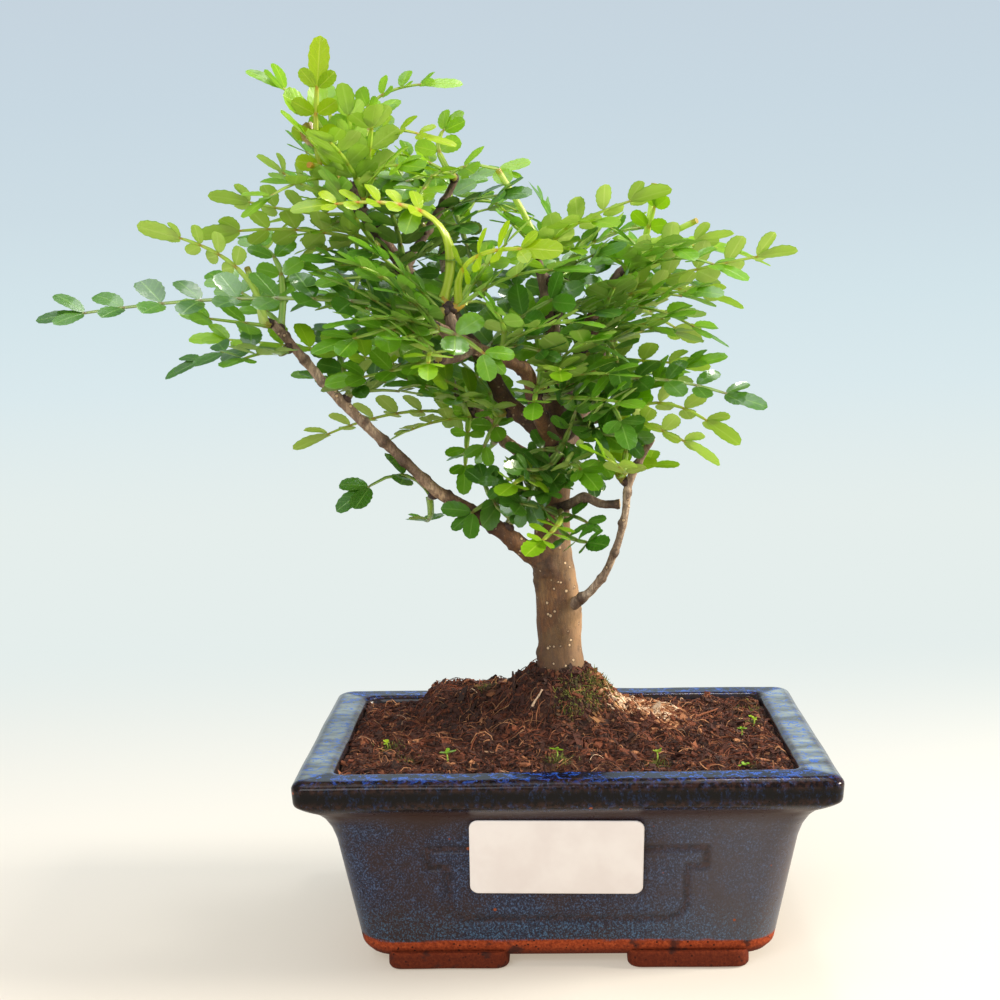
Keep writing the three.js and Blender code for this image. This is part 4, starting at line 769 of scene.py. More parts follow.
def make_wood(bark, cut_wood):
    """Trunk and branches: tubes along eased courses, with bark relief, swollen nodes, scars and root ridges.
    The tint holds how dark and knobbly the skin is, darker as painted shade high on the trunk and on the
    branches inside the crown, how young it is, and how mossy."""
    skin = Skin()
    for index, (name, rows) in enumerate(WOOD.items()):
        trunk = name == "trunk"
        course = rounded_course(rows, 0.55 if trunk else 0.7)
        path, radius = course[:, :3], course[:, 3]
        sides = 64 if trunk else int(np.clip(2 * np.pi * radius.max() / 0.5, 12, 30))
        rings, ways = tube(path, radius, sides)
        dark = np.zeros(rings.shape[:2])
        angle = np.linspace(0, 2 * np.pi, sides, endpoint=False)
        if trunk:
            height = rings[..., 2]
            ridge = sum(np.exp(-(((angle - root + np.pi) % (2 * np.pi) - np.pi) / 0.42) ** 2) for root in ROOTS)
            flare = smooth(84, 66, height)
            relief = flare * (1.5 * ridge - 0.7) + 0.9 * flare * rough(rings, 4.5, 11)
            relief += 0.28 * rough(rings * [1, 1, 0.45], 3.2, 12) + 0.13 * rough(rings * [1, 1, 0.5], 1.1, 13)
            for place, reach, rise in SCARS:
                away = np.linalg.norm(rings - place, axis=-1)
                relief += rise * np.exp(-(away / reach) ** 2) * (1 + 0.5 * rough(rings, 1.2, 14))
                dark = np.maximum(dark, np.exp(-(away / reach) ** 4) * (0.55 + 0.3 * rough(rings, 1.0, 15)))
            dark = np.maximum(dark, smooth(78, 70, height + 3 * rough(rings, 3, 16)))
            # Painted shade: the trunk's bark darkens above about 134 mm, under the crown.
            dark = np.maximum(dark, 0.6 * smooth(134, 148, height + 3 * rough(rings, 4, 17)))
        else:
            along = np.arange(len(path)) * 0.7
            relief = 0.10 * radius[:, None] * rough(rings * [1, 1, 0.8], 1.6, 20 + index)
            relief += 0.07 * rough(rings, 0.7, 21 + index)
            for place in np.arange(4.0 + index % 3, along[-1], 7.5 + index % 4):
                facing = index + 2.4 * place
                swell = np.exp(-((along - place) / 1.1) ** 2)[:, None] * (0.55 + 0.45 * np.cos(angle - facing))
                relief += 0.55 * swell * (1 + 0.6 * rough(rings, 0.8, 22))
                dark = np.maximum(dark, swell * 0.8)
            foot = np.exp(-(along / 5.0) ** 2)[:, None]
            relief += foot * (0.55 + 0.35 * rough(rings, 1.3, 24))
            dark = np.maximum(dark, foot * (0.6 + 0.4 * rough(rings, 1.6, 25)) * (name != "left"))
            dark = np.maximum(dark, DARK_AND_SHADED_WOOD.get(name, 0.4) * (0.8 + 0.5 * rough(rings, 2.5, 23)))
        rings = rings + ways * relief[..., None]
        young = np.repeat(smooth(2.2, 1.2, radius)[:, None], sides, 1)
        x, y, z = np.moveaxis(rings, -1, 0)
        moss = smooth(82, 72, z) * smooth(-4, 4, x) * smooth(9, 5, y) * trunk
        tint = np.stack([np.clip(dark, 0, 1), young, moss, np.full_like(young, float(trunk))], -1)
        finish = np.zeros(len(ring_faces(*rings.shape[:2])), int)
        if name in CUT_ENDS:
            finish[-sides:] = 1
        add_rings(skin, rings, tint, finish)
    for index, (name, spray) in enumerate(SPRAYS.items()):
        middle, radius, _ = nearest_wood(np.array(spray[0], float))
        axis = SEATS[name][1]
        size = 1.15 + 0.35 * min(radius, 2.2)
        for step in range(3 if radius > 1.25 else 1):
            shift = unit(chance.normal(size=3)) * 0.7 * step
            place = middle + axis * (radius * 0.75 + 0.15) + shift
            rings = knob(place, axis, size * (1 - 0.22 * step), 40 + index + step)
            add_rings(skin, rings, (1, 0, 0, 0), sharp_ends=False)
    skin.build("trunk_bark", [bark, cut_wood], "trunk_and_branches", "bark")


def bark_finish():
    """Tan-grey bark with pale raised breathing pores, fine long cracks, dark scars and a mossy foot, with
    painted sunlight on the trunk's right side and painted shade on its lower left side.
    """
    f = Finish("bark_skin")
    dark, young, moss, trunk = f.tint()
    x, _, z = f.places()
    x, z = x * 1000 - POT_MIDDLE_X, z * 1000
    patch = f.noise(7, 4, 0.6, stretch=(1, 1, 0.5))
    grain = f.noise(0.9, 4, 0.65, stretch=(1, 1, 0.3))
    fine = f.noise(0.35, 3, 0.7)
    old = f.ramp(patch, (0.25, (60, 33, 14)), (0.45, (96, 60, 29)), (0.6, (128, 88, 48)), (0.78, (184, 146, 96)))
    thin_bark = f.ramp(patch, (0.3, (122, 98, 78)), (0.55, (176, 152, 126)), (0.75, (212, 192, 166)))
    stain = f.noise(3.4, 4, 0.65, stretch=(1, 1, 0.6)).between(0.54, 0.68)
    some = f.noise(6, 2).between(0.47, 0.54)
    near_pore = f.cells(2.3) + 0.22 * (fine - 0.5)
    pore = near_pore.between(0.22, 0.14) * some
    scab = f.ramp(f.noise(1.1, 3, 0.6), (0.35, (28, 17, 12)), (0.6, (66, 42, 28)), (0.8, (112, 78, 54)))
    green = f.noise(1.6, 3, 0.6).between(0.5, 0.62) * moss
    colour = f.coats(
        old, (young, thin_bark),
        # Painted shade: a warm darker brown over the lower trunk's left side.
        (z.between(112, 84) * x.between(3.2, -3.8) * trunk * 0.55, (112, 70, 40)),
        (grain.between(0.60, 0.44) * 0.55, (66, 42, 26)),
        (fine.between(0.55, 0.75) * 0.3, (198, 162, 118)),
        (f.noise(13, 3).between(0.44, 0.6) * trunk * 0.4, (112, 90, 56)),
        # Painted sunlight: a pale tan over the trunk's right side.
        (x.between(1, 5) * trunk * 0.4, (196, 156, 112)),
        (z.between(92, 78) * (0.3 + patch) * trunk * 0.6, (66, 36, 18)),
        (stain * 0.55, (64, 40, 24)),
        (near_pore.between(0.36, 0.24) * some * 0.6, (66, 44, 28)),
        (pore * 0.85, (206, 174, 134)),
        (dark, scab),
        (green, f.mix(fine, (44, 58, 18), (104, 128, 46))))
    relief = f.bump(grain, 0.55, 0.30)
    relief = f.bump(pore, 0.7, 0.25, relief)
    relief = f.bump(fine, 0.3 + 0.5 * dark, 0.16, relief)
    return f.done(f.solid(Base_Color=colour, Roughness=0.62 + 0.25 * grain, Normal=relief))


def cut_wood_finish():
    """A sawn or clipped end: pale wood with darker blotches and a fine grainy relief."""
    f = Finish("cut_wood")
    grain = f.noise(0.5, 4, 0.6)
    colour = f.ramp(grain, (0.3, (128, 98, 66)), (0.55, (186, 156, 116)), (0.8, (214, 190, 150)))
    colour = f.mix(f.noise(2.5).between(0.5, 0.62) * 0.6, colour, (112, 88, 66))
    return f.done(f.solid(Base_Color=colour, Roughness=0.8, Normal=f.bump(grain, 0.5, 0.2)))


# Leaves.
BUD_LONG = 3
LEAF_SEATS = [BUD_LONG * 0.84, BUD_LONG * 0.54]
POSES = np.stack([grid.ravel() for grid in np.meshgrid(
    [1, 0.88, 0.76, 0.62, 0.5], [0, 15, -15, 30, -30], [0, 5, -5, 10, -10, 15, -15, 20, -20, 26, -26],
    [0, 7, -7, 14, -14, 22, -22])], 1)


def misses(points, cloud):
    """Distance from each point to the nearest point of a cloud."""
    return np.linalg.norm(points[..., None, :] - cloud, axis=-1).min(-1)


def facing_way(degrees):
    """Way of a leaf's upper face: up, leaning to the front by the angle."""
    angle = np.radians(degrees)
    return np.stack([0 * angle, -np.sin(angle), np.cos(angle)], -1)


def bud_seat(name):
    """Where a bud starts and its axis: of its steps out from the wood it keeps the one whose foot has its
    corners where the CAD node has them."""
    bud, *leaves = SPRAYS[name]
    middle, radius, way = nearest_wood(np.array(bud, float))
    axis = sum(unit(np.array(leaf[:3], float) - middle) for leaf in leaves)
    axis = unit(axis - 0.85 * axis.dot(way) * way)
    starts = middle + axis * (radius * 0.8 + 0.15 * np.arange(1, 40))[:, None]
    turn = np.array(Vector((0, 1, 0)).rotation_difference(Vector(axis)).to_matrix())
    corners = 1.5 * np.array([[0, 0, 1], [1, 0, 0], [0, 0, -1], [-1, 0, 0]]) @ turn.T
    off = misses(starts[:, None] + corners, cad_points("foliage_" + name)).sum(1)
    return starts[np.argmin(off)], axis


def matching(leaves, cloud):
    """The leaf among some choices whose tip lies where the CAD node has one, or None."""
    base, middle, tip, face = leaves
    along = unit(tip - base)
    facing = facing_way(face)
    normal = unit(facing - dot(facing, along) * along)
    off = misses(tip + 0.35 * normal, cloud) + misses(tip - 0.35 * normal, cloud)
    best = np.argmin(off)
    if off[best] > 0.1:
        return None
    return {"base": base, "middle": middle[best], "tip": tip[best], "face": face[best]}


def posed(base, row):
    """All poses of a leaf of the table: leant about its base, turned about the upright, and shortened."""
    places = np.array([row[:3], row[3:6]], float) - base
    hinge = unit(np.cross(places[1], UP))
    scale, roll, lean, turn = POSES.T
    middle, tip = [turned(turned(np.repeat([v], len(POSES), 0), hinge, np.radians(lean)), UP, np.radians(turn))
                   * scale[:, None] + base for v in places]
    return base, middle, tip, row[6] + roll


def filling(start, axis, index):
    """All choices for the short leaf that fills the crown at a bud: ten ways round the axis, in three sizes."""
    base = start + axis * BUD_LONG * 0.24
    side = unit(np.cross(axis, UP))
    other = np.cross(side, axis)
    angle = (2 * np.pi * np.arange(10) / 10 + index)[:, None]
    spread = np.radians(58)
    way = axis * np.cos(spread) + np.sin(spread) * (side * np.cos(angle) + other * np.sin(angle))
    way = np.repeat(unit(way * [1, 1, 0.6]), 3, 0)
    size = np.tile([1, 0.8, 0.62], 10)[:, None]
    length = 27 + 5 * np.sin(1.7 * index)
    middle = base + way * 0.5 * length * size + UP * 0.08 * length
    return base, middle, base + way * length * size, np.where(way[:, 1] < 0, 42, -20)


SEATS = {name: bud_seat(name) for name in SPRAYS}


def find_leaves():
    """Every leaf of every spray, placed as in the CAD node."""
    found = {}
    for index, (name, (bud, *rows)) in enumerate(SPRAYS.items()):
        start, axis = SEATS[name]
        cloud = cad_points("foliage_" + name)
        order = np.argsort(np.argsort([-unit(np.array(row[:3]) - start).dot(axis) for row in rows]))
        leaves = []
        for rank, row in zip(order, rows):
            leaf = matching(posed(start + axis * LEAF_SEATS[rank], row), cloud)
            if leaf:
                leaves.append({**leaf, "bare": row[7], "tone": row[8]})
        if bud[2] >= 155 and abs(bud[0] + 15) <= 50:
            leaf = matching(filling(start, axis, index), cloud)
            if leaf:
                leaves.append({**leaf, "bare": 0.2, "tone": min(rows[0][8], 1)})
        found[name] = leaves
    return found


def rib_points(leaf, shares):
    """Points on the quadratic curve of a leaf's rib."""
    t = np.asarray(shares, float)[:, None]
    control = 2 * leaf["middle"] - (leaf["base"] + leaf["tip"]) / 2
    return (1 - t) ** 2 * leaf["base"] + 2 * t * (1 - t) * control + t**2 * leaf["tip"]


OPEN_WOOD = ("left", "front", "frontSpur", "frontTwig", "thin", "stub")
TRUNK_SPRAYS = ("trunk_front", "trunk_low", "trunk_dark", "trunk_left", "right_low_mid")
# The crown's upper outline as the photograph shows it: across and up, in its pixels from the middle.
CREST = np.array([[-420, 210], [-363, 268], [-290, 310], [-245, 345], [-205, 430], [-180, 455], [-125, 415],
                  [-45, 405], [-30, 360], [5, 350], [45, 300], [90, 300], [118, 316], [165, 306], [200, 280],
                  [290, 250], [330, 120]])


def in_view(points):
    """Where points lie across and up in the photograph, in its pixels from the middle, and how far off."""
    offset = points - CAMERA_PLACE
    depth = offset @ CAMERA_WAY
    seen = np.stack([offset @ CAMERA_RIGHT, offset @ CAMERA_UP], -1) / depth[..., None]
    return seen * PIXELS_PER_SLOPE, depth


TRIES = 90


def fill_crown(found):
    """Shorter leaves between the others: of many random ways out of a bud, each takes the one whose rib keeps
    farthest from the leaves and the wood that are there. None leaves the crown's outline."""
    outer = [0.45, 0.6, 0.8, 1]
    taken = np.concatenate([rib_points(leaf, outer) for leaves in found.values() for leaf in leaves])
    wood_cloud = np.concatenate([rounded_course(rows, 3.0)[:, :3] for rows in WOOD.values()])
    open_cloud = np.concatenate([rounded_course(WOOD[name], 3.0)[:, :3] for name in OPEN_WOOD])
    bare_wood, bare_depth = in_view(open_cloud)
    for name, ((x, _, z), first, *_) in SPRAYS.items():
        low = name in TRUNK_SPRAYS
        wanted = 3 if low else 2 if z >= 150 and abs(x + 15) <= 58 else int(134 < z < 150)
        start, axis = SEATS[name]
        for turn in range(wanted):
            away = unit(chance.normal(size=(TRIES, 3)))
            way = unit((axis + 1.15 * away) * ([1, 1, 0.75] if low else [1, 1, 0.5]) + [0, 0, 0.10])
            length = chance.uniform(*((15, 24) if low else (28, 46)), TRIES)[:, None]
            base = start + axis * BUD_LONG * (0.3 + 0.2 * turn)
            middle = base + way * 0.5 * length + UP * 0.10 * length
            tip = base + way * length + UP * chance.uniform(-0.12, 0.06, (TRIES, 1)) * length
            ends = np.stack([(base + 2 * middle) / 3, middle, (middle + tip) / 2, tip], 1)
            room = misses(ends[:, 1:], taken).min(1)
            inside = (misses(tip, taken) < 19) & (tip[:, 2] > 148 + 0.35 * np.abs(tip[:, 0] + 15))
            inside &= (tip[:, 2] < 214) | (np.abs(tip[:, 0] - 12) > 24)
            if low:
                inside = (np.abs(tip[:, 0] - 6) < 24) & (np.abs(tip[:, 2] - 146) < 27) & (tip[:, 1] < 2)
            seen, depth = in_view(ends)
            gap = np.linalg.norm(seen[:, :, None] - bare_wood, axis=-1)
            hiding = (gap < (10 if low else 30)) & (depth[:, :, None] < bare_depth)
            inside &= (seen[..., 1] < np.interp(seen[..., 0], *CREST.T) - 16).all(1)
            clear = (misses(ends, wood_cloud).min(1) > 4.5) & ~hiding.any((1, 2))
            room = np.where(inside & clear & (dot(way, axis)[:, 0] > 0.15), room, -1)
            best = np.argmax(room)
            if room[best] < (1.2 if low else 2.2):
                continue
            # Painted light and shade: filler leaves high in the crown take a lighter tone, those by the trunk the
            # darkest tone; half of the others are a tone lighter at random.
            lit = int(chance.random() < 0.5) + (z > 205)
            leaf = {"base": base, "middle": middle[best], "tip": tip[best], "bare": 0.2,
                    "face": chance.uniform(*((35, 65) if low else (2, 26))),
                    "tone": 0 if low else min(first[8] + lit, 1 + (z > 200))}
            found[name].append(leaf)
            taken = np.concatenate([taken, rib_points(leaf, outer)])


# What the photograph shows of single leaves, by spray and number: the end leaflet's length, the pitch of the
# pairs, the rib's bare share and width, the tone, and the lean of the face.
LEAF_DETAILS = [
    ("apex", 0, {"end": 14.5, "pitch": 8.8}), ("apex", 1, {"dry": 0}),
    ("apex_right", 0, {"pitch": 6.4, "bare": 0.30}), ("left_tip", 0, {"pitch": 7.4, "bare": 0.36}),
    ("twig_young", 0, {"stalk": 1.35, "pitch": 5.8, "bare": 0.42}),
    ("twig_bright", 0, {"stalk": 1.1, "pitch": 8.0}), ("twig_long", 0, {"stalk": 1.2, "pitch": 11.0, "tone": 0}),
    ("leader_fourth", 0, {"pitch": 7.0}), ("mid_right", 0, {"pitch": 9.4}), ("trunk_front", 0, {"tone": 2}),
    ("upper_low", 0, {"face": 38}), ("upper_mid", 0, {"face": 38}), ("right_second", 1, {"face": 38})]
LEAVES = find_leaves()
fill_crown(LEAVES)
for spray, number, details in LEAF_DETAILS:
    LEAVES[spray][number].update(details)


def leaflet_form():
    """One leaflet, one long and one wide: eleven rings of four points (right edge, upper middle, left edge,
    lower middle) between two poles. The half width is a power of the way along times a power of the way left,
    so it is widest past the middle; every second ring is a little wider, for the scalloped edge."""
    even = np.linspace(0, 1, 13)
    along = 0.72 * even + 0.28 * (0.5 - 0.5 * np.cos(np.pi * even))
    half = along**0.64 * (1 - along) ** 0.46
    half = half / half.max() * (1 + 0.045 * np.where(np.arange(13) % 2, 1, -1) * (np.arange(13) > 2))
    ring = np.array([[1, 0, 0], [0, 1, 0], [-1, 0, 0], [0, 0, 1]])
    rows = np.concatenate([[[a, h * r, u, w] for r, u, w in ring] for a, h in zip(along[1:-1], half[1:-1])])
    rows = np.concatenate([rows, [[0, 0, 0, 0], [1, 0, 0, 0]]])
    faces = ring_faces(11, 4)
    under = np.array([0, 0, 1, 1])[np.arange(len(faces)) % 4]
    across = np.tile([1, 0.5, 0, 0.5], 11)
    surface_map = np.stack([np.concatenate([across, [0.5, 0.5]]), rows[:, 0]], 1)[faces]
    crease = np.concatenate([np.tile([True, False, True, False], 11), [True, True]])
    return rows, faces, under, surface_map, crease


FORM, FORM_FACES, FORM_UNDER, FORM_MAP, FORM_CREASE = leaflet_form()


def add_leaflets(skin, foot, way, normal, long, wide, fold, curl, shade, dry, finish):
    """Leaflets, one for each row: a point is foot + way * along + side * across + normal * height, where the
    height falls with the square of the way along, rises from the midrib to the edges, and swells a little."""
    side = np.cross(normal, way)
    a, h, upper, lower = FORM.T
    across = h * wide[:, None] / 2
    rise = fold[:, None] * np.abs(across) - curl[:, None] * (a * a) * long[:, None]
    thick = 0.16 * np.sqrt(np.clip(np.sin(np.pi * a), 0, 1)) * (upper - lower)
    rise = rise + thick + 0.10 * np.sin(9 * a + 7 * shade[:, None]) * np.abs(h)
    points = (foot[:, None] + way[:, None] * (a * long[:, None])[..., None]
              + side[:, None] * across[..., None] + normal[:, None] * rise[..., None])
    count = len(points)
    tint = np.zeros((count, len(FORM_FACES), 4))
    tint[..., 0] = shade[:, None]
    tint[..., 1] = FORM_UNDER
    tint[..., 3] = dry[:, None]
    add_forms(skin, points, FORM_FACES, np.tile(FORM_MAP, (count, 1, 1)), tint, finish,
              np.tile(FORM_CREASE, count))


def rib(leaf, count=65):
    """Points along the rib, with how far along its length each lies."""
    points = rib_points(leaf, np.linspace(0, 1, count))
    along = np.concatenate([[0], np.cumsum(np.linalg.norm(np.diff(points, axis=0), axis=1))])
    return points, along


def rib_frames(leaf, at):
    """Places on the rib at given lengths, each with its way, its way across and its upper way."""
    points, along = rib(leaf)
    place = np.stack([np.interp(at, along, column) for column in points.T], 1)
    ways = np.gradient(points, along, axis=0)
    way = unit(np.stack([np.interp(at, along, column) for column in ways.T], 1))
    facing = facing_way(np.array(leaf["face"]))
    normal = unit(facing - dot(way, facing) * way)
    return place, way, np.cross(normal, way), normal


# Round a rib: how far across, how far up and how light.
RIB_PROFILE = np.array([[1, 0.05, 0.35], [0.45, 0.55, 0.75], [0, 0.30, 0], [-0.45, 0.55, 0.75], [-1, 0.05, 0.35],
                        [0, -0.85, 0.6]])


def draw_leaf(skin, leaf):
    """A compound leaf: a grooved, winged rib with a joint at each pair, pairs of leaflets and a longer one at
    the end. Leaflets grow longer and slimmer toward the tip, and each leans and turns a little on its own."""
    length = rib(leaf)[1][-1]
    stalk = leaf.get("stalk", 0.98)
    end = leaf.get("end", min(12.5, 0.34 * length))
    start, stop = leaf["bare"] * length, length - end
    pairs = 1 + max(1, round((stop - start) / leaf.get("pitch", 8.6)))
    nodes = np.linspace(start + 1.2, stop - 0.3, pairs)
    pitch = nodes[1] - nodes[0]
    place, way, across, normal = rib_frames(leaf, nodes)
    share = np.arange(pairs) / (pairs - 1)
    size = np.clip(1.09 * pitch, 6.6, 10.8) * (0.82 + 0.18 * np.sin(np.pi * (0.15 + 0.75 * share)))
    spread = chance.uniform(0.12, 0.42)
    rows = []
    for sign in (1, -1):
        lean = np.radians(np.interp(share, [0, 0.8, 1], [64, 56, 40]) + chance.uniform(-6, 6, pairs))[:, None]
        lift = (spread + chance.uniform(-0.12, 0.14, pairs))[:, None]
        out = unit(np.cos(lean) * way + np.sin(lean) * sign * across + lift * normal)
        up = unit(normal - dot(normal, out) * out)
        up = turned(up, out, np.radians(chance.uniform(-12, 12, pairs) - sign * 8))
        long = size * chance.uniform(0.92, 1.07, pairs)
        slim = np.interp(share, [0, 1], [0.76, 0.60]) * chance.uniform(0.93, 1.09, pairs)
        rows.append([place + sign * across * 0.45 + way * 0.2, out, up, long, long * slim])
    tip_place, tip_way, _, tip_up = rib_frames(leaf, np.array([length - end]))
    tip_up = turned(tip_up, tip_way, np.radians(chance.uniform(-14, 14, 1)))
    rows.append([tip_place, tip_way, tip_up, np.array([end]), np.array([min(6.2, 0.50 * end)])])
    foot, out, up, long, wide = [np.concatenate(column) for column in zip(*rows)]
    count = len(long)
    dry = (np.arange(count) == leaf.get("dry")) * 1.0
    add_leaflets(skin, foot, out, up, long, wide, chance.uniform(0.06, 0.26, count),
                 chance.uniform(-0.02, 0.12, count), np.clip(chance.normal(0.5, 0.2, count), 0, 1), dry,
                 leaf["tone"])
    bare_part = np.linspace(0, start, max(3, int(start / 2.5)))
    at = np.unique(np.concatenate([bare_part, nodes, nodes - 0.8, nodes + 0.9, (nodes[1:] + nodes[:-1]) / 2,
                                   [stop + 0.4]]))
    at = at[(at >= 0) & (at <= stop + 0.5)]
    place, _, across, normal = rib_frames(leaf, at)
    near = np.exp(-(misses(at[:, None], nodes[:, None]) / 0.75) ** 2)
    taper = np.interp(at, [0, start, stop], [stalk * 1.1, stalk, 0.68])
    half = taper * (1 - 0.34 * near * (at > 0.7 * start))
    half[at < 1.2] *= 1.25
    wide, high, light = RIB_PROFILE.T
    rings = (place[:, None] + across[:, None] * (wide * half[:, None])[..., None]
             + normal[:, None] * (high * (0.72 * taper)[:, None])[..., None])
    tint = np.zeros((*rings.shape[:2], 4))
    tint[..., 0] = light
    tint[..., 2] = 1
    tint[..., 3] = near[:, None] * chance.uniform(0.5, 1.0)
    add_rings(skin, rings, tint, leaf["tone"])


def draw_bud(skin, start, axis, tone):
    """The green foot that the leaves start from: a short cone with rough scales."""
    path = start + axis * np.array([-0.5, 0.2, 1.0, 1.9, 2.7, 3.3])[:, None]
    rings, _ = tube(path, np.array([1.15, 1.4, 1.3, 1.05, 0.75, 0.35]), 8)
    rings += unit(rings - path[:, None]) * (0.16 * rough(rings, 0.8, 71))[..., None]
    add_rings(skin, rings, (0.4, 0, 1, 0.55), tone, sharp_ends=False)


def draw_shoot(skin, start, end, tone):
    """A thick green shoot that was clipped: a tube with a tan end."""
    course = rounded_course([[*start, 1.05], [*((start + end) / 2 + [0.4, 0, 0.5]), 0.95], [*end, 0.9]], 1.0)
    rings, ways = tube(course[:, :3], course[:, 3], 10)
    rings += ways * (0.08 * rough(rings, 1.2, 72))[..., None]
    tint = np.zeros((*rings.shape[:2], 4))
    tint[..., 0], tint[..., 2] = 1.0, 1
    tint[-2:, :, 3] = 0.8
    add_rings(skin, rings, tint, tone)


def leaf_finish(name, upper, under, through, joint_colour, share, gloss):
    """A leaf's finish: glossy above with a pale midrib, faint side veins and pale glands at the edge; paler
    and duller below; some light comes through. Ribs are yellow-green with red-brown joints."""
    f = Finish(name)
    shade, below, stem, joint = f.tint()
    across, along = f.across_and_along()
    off = abs(across * 2 - 1)
    blotch = f.noise(4.5, 3, 0.6)
    fine = f.noise(0.7, 3, 0.6)
    light = (shade * 0.62 + blotch * 0.38).between(0.25, 0.75)
    side_veins = ((along * 34 - off * 9).wave()).between(0.72, 1.0) * off.between(0.05, 0.2)
    gland = (along * 44).wave().between(0.55, 0.95) * off.between(0.84, 0.95)
    top = f.coats(f.mix(light, upper[0], upper[1]), (side_veins * 0.22, upper[2]),
                  (off.between(0.10, 0.03) * 0.75, upper[2]), (gland * 0.5, upper[2]))
    low = f.coats(f.mix(light, under[0], under[1]), (f.cells(0.9).between(0.2, 0.1) * 0.18, upper[0]),
                  (off.between(0.14, 0.05) * 0.5, under[2]), (off.between(0.86, 0.99) * 0.75, upper[0]))
    ribs = f.coats(f.mix(shade, upper[1], f.mix(0.35, under[2], (214, 214, 120))),
                   (f.noise(2.0).between(0.4, 0.6) * 0.35, upper[2]), (joint, joint_colour))
    dry = joint * (1 - stem) * (along + 0.2 * fine).between(0.3, 0.5)
    colour = f.coats(top, (below, low), (dry, (138, 88, 44)), (stem, ribs))
    roughness = 0.25 + 0.32 * below + 0.10 * fine + 0.15 * stem
    relief = f.bump(off.between(0.0, 0.10) + 0.4 * side_veins, 0.5, 0.10)
    relief = f.bump(blotch, 0.5, 0.5, relief)
    relief = f.bump(fine, 0.12, 0.06, relief)
    surface = f.solid(Base_Color=colour, Roughness=roughness, Normal=relief, Coat_Weight=(1 - below) * gloss,
                      Coat_Roughness=0.10)
    glow = f.node("BsdfTranslucent", None, {"Color": through})
    return f.done(f.node("MixShader", None, {0: share, 1: surface, 2: glow}))


# From dark to young: the upper side in shade, in light and at its veins; the same of the under side; the light
# that comes through; a rib's joints; the share of light that comes through; and the gloss.
LEAF_TONES = {
    "leaf_dark": ([(52, 94, 24), (88, 136, 40), (124, 164, 70)],
                  [(118, 146, 62), (144, 168, 78), (170, 190, 98)],
                  (128, 188, 40), (112, 58, 34), 0.36, 0.9),
    "leaf_mid": ([(84, 132, 24), (122, 170, 38), (158, 194, 72)],
                 [(142, 168, 74), (170, 192, 94), (192, 210, 116)],
                 (164, 212, 50), (146, 72, 36), 0.42, 0.45),
    "leaf_light": ([(108, 154, 24), (144, 184, 36), (176, 204, 66)],
                   [(170, 192, 86), (196, 212, 112), (212, 224, 132)],
                   (200, 230, 74), (160, 78, 38), 0.46, 0.25),
    "leaf_young": ([(144, 178, 20), (176, 200, 32), (206, 214, 76)],
                   [(166, 188, 50), (188, 204, 66), (208, 218, 92)],
                   (196, 218, 38), (206, 84, 34), 0.46, 0.2),
}


def make_foliage():
    finishes = [leaf_finish(name, *row) for name, row in LEAF_TONES.items()]
    for name, leaves in LEAVES.items():
        skin = Skin()
        start, axis = SEATS[name]
        tone = SPRAYS[name][1][8]
        draw_bud(skin, start, axis, tone)
        for end in CUT_SHOOTS.get(name, []):
            draw_shoot(skin, start + axis * LEAF_SEATS[0], np.array(end, float), tone)
        for leaf in leaves:
            draw_leaf(skin, leaf)
        skin.build("leaves_" + name, finishes, "foliage_" + name, list(LEAF_TONES)[tone])
    make_seedlings(finishes[2:])


# Soil.
SOIL_HALF = RIM_HALF - 11.5
TRUNK_X, TRUNK_Y = -0.8, 10


def soil_height(x, y):
    """The solid soil's height: edge, mound round the trunk, corner of an older root ball and slow waves."""
    mound = np.exp(-((x / 30) ** 2) - ((y - 10) / 24) ** 2)
    block = 7 / (1 + np.exp(-(x + 44) / 1.2)) / (1 + np.exp((x + 9) / 2.5)) / (1 + np.exp((15 - y) / 1.5))
    waves = 0.6 * np.sin(0.55 * x + 0.31 * y) + 0.5 * np.sin(0.27 * x - 0.62 * y + 2)
    return 58 + 12 * mound + block * np.exp(-mound) + waves


def ground(x, y):
    """Height of the finished soil: the solid's, with clods and crumbs."""
    flat = np.stack([x, y, 0 * x], -1)
    clods = 0.7 * rough(flat, 5.5, 80) + 0.45 * rough(flat, 2.2, 81) + 0.22 * rough(flat, 0.9, 82)
    edge = np.minimum(SOIL_HALF[0] - np.abs(x), SOIL_HALF[1] - np.abs(y - POT_Y))
    collar = 7.5 * smooth(21, 9.5, np.hypot(x - TRUNK_X, y - TRUNK_Y))
    return soil_height(x, y) + collar + clods * smooth(-1, 3, edge) - 0.8 * smooth(4, 0, edge)


def make_soil(finish):
    """Ground as rings that shrink from the pot's inner wall to the trunk, with a skirt and a closed floor."""
    outline = rounded_frame([SOIL_HALF], [4.2], 150, 100, 6)[0]
    share = np.linspace(1, 0.05, 88)[:, None, None]
    centre = np.array([-1, 10 - POT_Y])
    flat = centre + (outline - centre) * share + [0, POT_Y]
    top = np.concatenate([flat, ground(flat[..., 0], flat[..., 1])[..., None]], -1)
    skin = Skin()
    add_rings(skin, np.concatenate([top[:1] * [1, 1, 0] + [0, 0, 52.0], top]), sharp_ends=False)
    skin.build("soil_ground", [finish], "soil", "soil")


